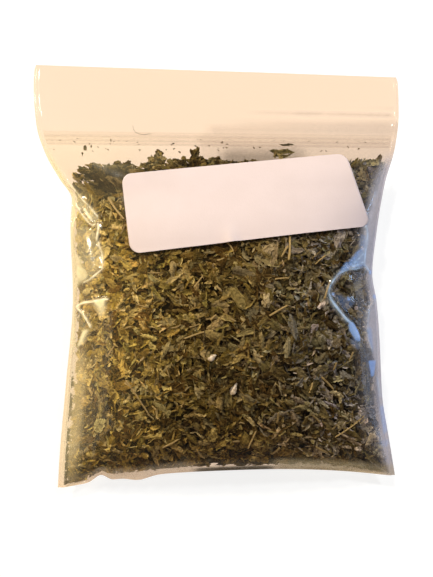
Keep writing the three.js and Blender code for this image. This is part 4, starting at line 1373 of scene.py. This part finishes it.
# Single leaves that lie apart, or stand out among the rest: place in plan, half length, half width, turn,
# how light it is, and its depth.
PLACED_LEAVES = [
    (25.9, 48.9, 4.4, 1.0, 0.05, 0.5, 0.1), (25.8, 47.8, 3.9, 1.1, 2.96, 0.7, 0.2),
    (24.9, 46.6, 2.2, 1.1, 2.1, 1.5, 0.2), (23.0, 47.6, 1.4, 0.8, 1.2, 0.8, 0.1),
    (27.4, 51.0, 2.8, 0.6, 0.12, 0.4, 0.1), (7.4, 44.9, 3.4, 0.6, 0.05, 0.4, 0.2),
    (5.0, 44.4, 2.0, 0.6, 0.3, 0.6, 0.3), (14.6, 45.0, 1.6, 0.8, 0.1, 0.5, 0.3),
    (-50.8, 49.8, 1.2, 0.8, 1.2, 0.35, 0.1), (-51.8, 47.4, 0.9, 0.5, 1.3, 0.4, 0.1),
    (60.1, 44.4, 3.6, 1.8, 3.08, 1.5, 0.1), (58.6, 40.0, 4.6, 2.1, 0.15, 1.2, 0.3),
    (58.0, 35.9, 3.2, 1.7, 0.3, 1.0, 0.2), (-41.5, 31.4, 4.2, 1.3, 0.1, 1.5, 0.2),
    (-46.5, 34.5, 3.6, 1.5, 0.5, 0.9, 0.3), (-50.6, 21.6, 4.4, 1.9, 0.95, 1.0, 0.1),
    (-50.2, 15.2, 4.0, 1.7, 1.1, 1.2, 0.1), (-48.0, 9.4, 3.4, 1.6, 0.5, 0.9, 0.1),
    (-37.4, 12.4, 4.2, 1.1, 2.75, 1.9, 0.1), (-33.0, 4.2, 3.4, 2.1, 0.1, 2.3, 0.1),
    (-39.5, 3.6, 1.8, 0.7, 2.7, 1.9, 0.2), (-47.4, -2.4, 4.0, 1.7, 0.15, 1.5, 0.1),
    (-38.6, -18.0, 2.6, 1.2, 0.8, 2.1, 0.2), (-22.0, 4.4, 4.6, 1.5, 0.15, 1.3, 0.2),
    (-10.5, -6.0, 4.4, 1.4, 0.1, 1.2, 0.2), (-18.0, -22.0, 4.2, 1.5, 0.2, 1.5, 0.2),
    (47.6, -39.6, 3.2, 1.5, 0.2, 2.5, 0.1), (46.6, -45.6, 3.0, 1.4, 2.8, 2.7, 0.1),
    (14.0, 3.0, 3.8, 1.5, 2.6, 1.2, 0.2), (1.0, -8.0, 4.0, 1.5, 0.5, 1.3, 0.2),
    (48.2, -3.0, 4.8, 2.0, 0.6, 1.5, 0.1), (55.4, -3.6, 4.2, 2.2, 0.5, 1.3, 0.1),
    (50.2, -8.2, 4.6, 1.6, 2.7, 0.7, 0.1), (52.4, -13.4, 3.8, 1.5, 2.2, 1.3, 0.1),
    (36.0, -22.0, 3.6, 1.6, 0.9, 1.1, 0.2), (35.0, -1.5, 3.4, 1.5, 1.3, 1.2, 0.2),
    (31.0, -61.3, 2.4, 0.9, 3.0, 2.0, 0.2), (47.8, -47.6, 1.6, 0.8, 1.6, 2.0, 0.2),
]
# Crumpled tufts along the top of the heap: centre in plan, half extents, how many bits and how light they
# are.
TUFTS = [
    ((-24.6, 44.0), (3.6, 2.8), 22, 0.9), ((-21.2, 46.8), (2.0, 1.7), 14, 0.9),
    ((-13.4, 43.6), (3.8, 2.3), 18, 0.75), ((-7.6, 46.4), (2.6, 2.8), 20, 0.8),
    ((-1.4, 44.6), (4.0, 1.5), 18, 1.0), ((-36.0, 42.4), (5.4, 2.0), 22, 1.2),
    ((-46.0, 41.6), (6.6, 2.2), 26, 1.1), ((-53.0, 39.0), (2.0, 2.6), 12, 1.0),
    ((53.4, 41.6), (1.6, 2.6), 7, 0.6), ((13.0, 43.8), (2.4, 0.8), 7, 0.6),
]

# Places in plan that the strewn leaf lies deeper under, so that what lies there shows, each with its reach.
KEPT_CLEAR = [(x, y, 0.3 * length) for (x, y), length, _ in PALE_BITS]
KEPT_CLEAR += [(row[0], row[1], 0.32 * row[2]) for row in PLACED_LEAVES if row[1] < 38]
for (x0, y0), (x1, y1), _ in NAMED_STALKS:
    KEPT_CLEAR += [(x0 * (1 - t) + x1 * t, y0 * (1 - t) + y1 * t, 0.1) for t in (0.2, 0.8)]


def make_placed_leaf():
    """The placed leaves, folded and crinkled more than the strewn ones."""
    x, y, length, width, turn, light, depth = np.array(PLACED_LEAVES).T
    u, share = place_of(x, y)
    tone = TONES[2] * light[:, None] * rng.normal(1, 0.04, (len(u), 3)) * painted_daylight(x, y)
    depth = np.minimum(depth, room_under(u, share) * 0.6)
    make_flakes("leaf_placed", u, share, 1, depth, length, width, tone, (18, 9), turn, fold=0.45, twist=0.3,
                pitch=0.12, ragged=0.14, crinkle=0.03, blister=0.22, scallop=0.3)


def make_crest_leaf():
    """Small crumpled bits of leaf in tufts along the top of the heap, which stand out against the empty
    film."""
    counts = [row[2] for row in TUFTS]
    centre, half, light = (np.repeat([row[i] for row in TUFTS], counts, axis=0) for i in (0, 1, 3))
    n = len(light)
    angle, reach = rng.uniform(0, 2 * np.pi, (2, n))
    spread = np.sqrt(reach / (2 * np.pi)) * np.stack([np.cos(angle), np.sin(angle)])
    x, y = (centre + half * spread.T).T
    u, share = place_of(x, y)
    length, width = rng.uniform(0.9, 2.1, n), rng.uniform(0.8, 1.8, n)
    depth = np.minimum(rng.uniform(0.1, 0.9, n), room_under(u, share) * 0.6)
    tone = tones(n) * light[:, None] * painted_daylight(x, y)
    make_flakes("leaf_crest", u, share, 1, depth, length, width, tone, (10, 7), roll=0.7, fold=0.7, twist=0.8,
                pitch=0.4, ragged=0.2, crinkle=0.08, blister=0.2)


# Patches of fine leaf dust: centre in plan, half extents, and how many grains.
DUST = [
    ((-54.5, -30.0), (2.4, 44.0), 120), ((61.0, -62.0), (2.2, 11.0), 60), ((58.5, -10.0), (2.0, 45.0), 110),
    ((0.0, 57.0), (62.0, 6.0), 30), ((0.0, 51.0), (62.0, 3.0), 50), ((-20.0, 68.0), (45.0, 9.0), 10),
]
# Heights in plan of the clusters of dust along the left weld, and how many grains each has.
WELD_DUST = [-80.5, -77.5, -74.0, -70.5, -66.5, -63.0, -60.5, -53.0, -49.0, -47.0, -41.0]
GRAINS_A_CLUSTER = 26


def make_dust():
    """Fine grains of leaf that cling inside the film at the welds, in the seal and on the lip, and clusters
    of darker ones that make a broken line along the lower part of the left weld."""
    spots = [np.array(c) + rng.uniform(-1, 1, (n, 2)) * np.array(half) for c, half, n in DUST]
    x, y = np.concatenate(spots).T
    u, share = place_of(x, y)
    clusters = (np.repeat(WELD_DUST, GRAINS_A_CLUSTER) - left_y(0.0)) / (left_y(1.0) - left_y(0.0))
    clusters += rng.normal(0, 0.0065, len(clusters))
    u = np.r_[u, -0.996 + np.abs(rng.normal(0, 0.013, len(clusters)))]
    share = np.r_[share, np.clip(clusters, 0.004, 1)]
    n, loose = len(u), len(x)
    length, width = rng.uniform(0.2, 0.6, n), rng.uniform(0.12, 0.32, n)
    tone = TONES[0] * rng.uniform(0.5, 1.6, (n, 1))
    length[loose:] *= 1.5
    width[loose:] *= 2.0
    tone[loose:] *= 0.35
    depth = np.full(n, 0.04)
    make_flakes("leaf_dust", u, share, 1, depth, length, width, tone, (4, 3), thick=0.03, pitch=0.1,
                twist=0.2)


# A dark fibre caught in the seal, and single specks near it, in plan.
FIBRE = [(-32.2, 58.6), (-32.0, 56.9), (-31.2, 55.7), (-29.8, 55.2), (-27.4, 54.9), (-25.2, 55.2)]
FIBRE_RADII, FIBRE_DEPTH, FIBRE_TONE = (0.06, 0.11), 0.01, 0.03
SPECKS = np.array([
    (-54.7, 63.4), (-38.0, 59.0), (-22.5, 54.9), (-21.0, 54.7), (-37.6, 52.4), (-34.7, 52.4), (-29.9, 51.0),
    (-60.5, 52.8), (-62.8, 49.1), (3.3, 69.5), (6.6, 64.8), (54.7, 59.1), (-58.0, 55.6), (20.0, 59.6),
])


def make_fibre():
    """The fibre, a thin rod from each of its points to the next."""
    ends = np.array(FIBRE)
    count = len(ends) - 1
    radius, depth = np.linspace(*FIBRE_RADII, count), np.full(count, FIBRE_DEPTH)
    points, faces, flat = stalk_mesh(ends[:-1], ends[1:], radius, depth)
    tone = np.full(points.shape, FIBRE_TONE)
    finish(add_mesh("seal_fibre", points, [faces], stalk_material, uv=flat, colours=tone), "stalk")


def make_specks():
    """The specks, a small dark flake for each."""
    u, share = place_of(*SPECKS.T)
    n = len(u)
    length, width = rng.uniform(0.22, 0.42, n), rng.uniform(0.16, 0.26, n)
    tone = np.repeat(TONES[:1], n, axis=0)
    depth = np.full(n, 0.02)
    make_flakes("leaf_specks", u, share, 1, depth, length, width, tone, (4, 3), thick=0.03, pitch=0.1)


# ------------------------------------------------------------------ Building

front_creases = CREASES + pucker_lines(1)
back_creases = pucker_lines(-1)
make_film("film_front", 1, film_columns(44, 60), film_rows(268), front_creases)
make_film("film_back", -1, film_columns(36, 36), film_rows(160), back_creases)
make_zip("zip_channel_strip", ZIP_CHANNEL, 1, "zip_channel")
make_zip("zip_rib_strip", ZIP_RIB, -1, "zip_rib")
make_label()
make_core()
make_stalks()
make_pale_bits()
make_placed_leaf()
make_crest_leaf()
make_dust()

# Strewn layers, each with its count, side, and ranges of depth, half length and half width.
strew("leaf_pieces", 900, 1, (0.06, 0.9), (3.0, 5.8), (1.2, 2.6), (9, 5), 1.1, 0.014,
      pitch=0.15, twist=0.3, blister=0.12)
strew("leaf_fragments", 1900, 1, (0.12, 1.5), (1.8, 4.6), (0.9, 2.3), (7, 4), inset=0.010)
strew("leaf_slivers", 1000, 1, (0.12, 1.4), (1.6, 4.6), (0.4, 1.0), (7, 3), 1.1, 0.016, roll=0.9, twist=0.7)
strew("leaf_crumbs", 1700, 1, (0.08, 1.2), (0.5, 1.3), (0.3, 0.9), (4, 3), pitch=0.6)
strew("leaf_threads", 220, 1, (0.06, 0.8), (1.0, 2.8), (0.10, 0.20), (6, 3), 1.6, 0.014,
      pitch=0.2, thick=0.05)
# The under layer is half as light: painted shade in the gaps between the flakes over it.
strew("leaf_under", 3000, 1, (1.0, 2.8), (1.6, 3.8), (0.9, 2.0), (5, 4), 0.5)
strew("leaf_back", 2600, -1, (0.1, 1.4), (1.7, 4.2), (0.8, 2.0), (5, 4))
strew("leaf_back_slivers", 2000, -1, (0.08, 1.2), (1.4, 4.2), (0.3, 0.8), (5, 3), 1.15, roll=0.9, twist=0.7)
make_fibre()
make_specks()
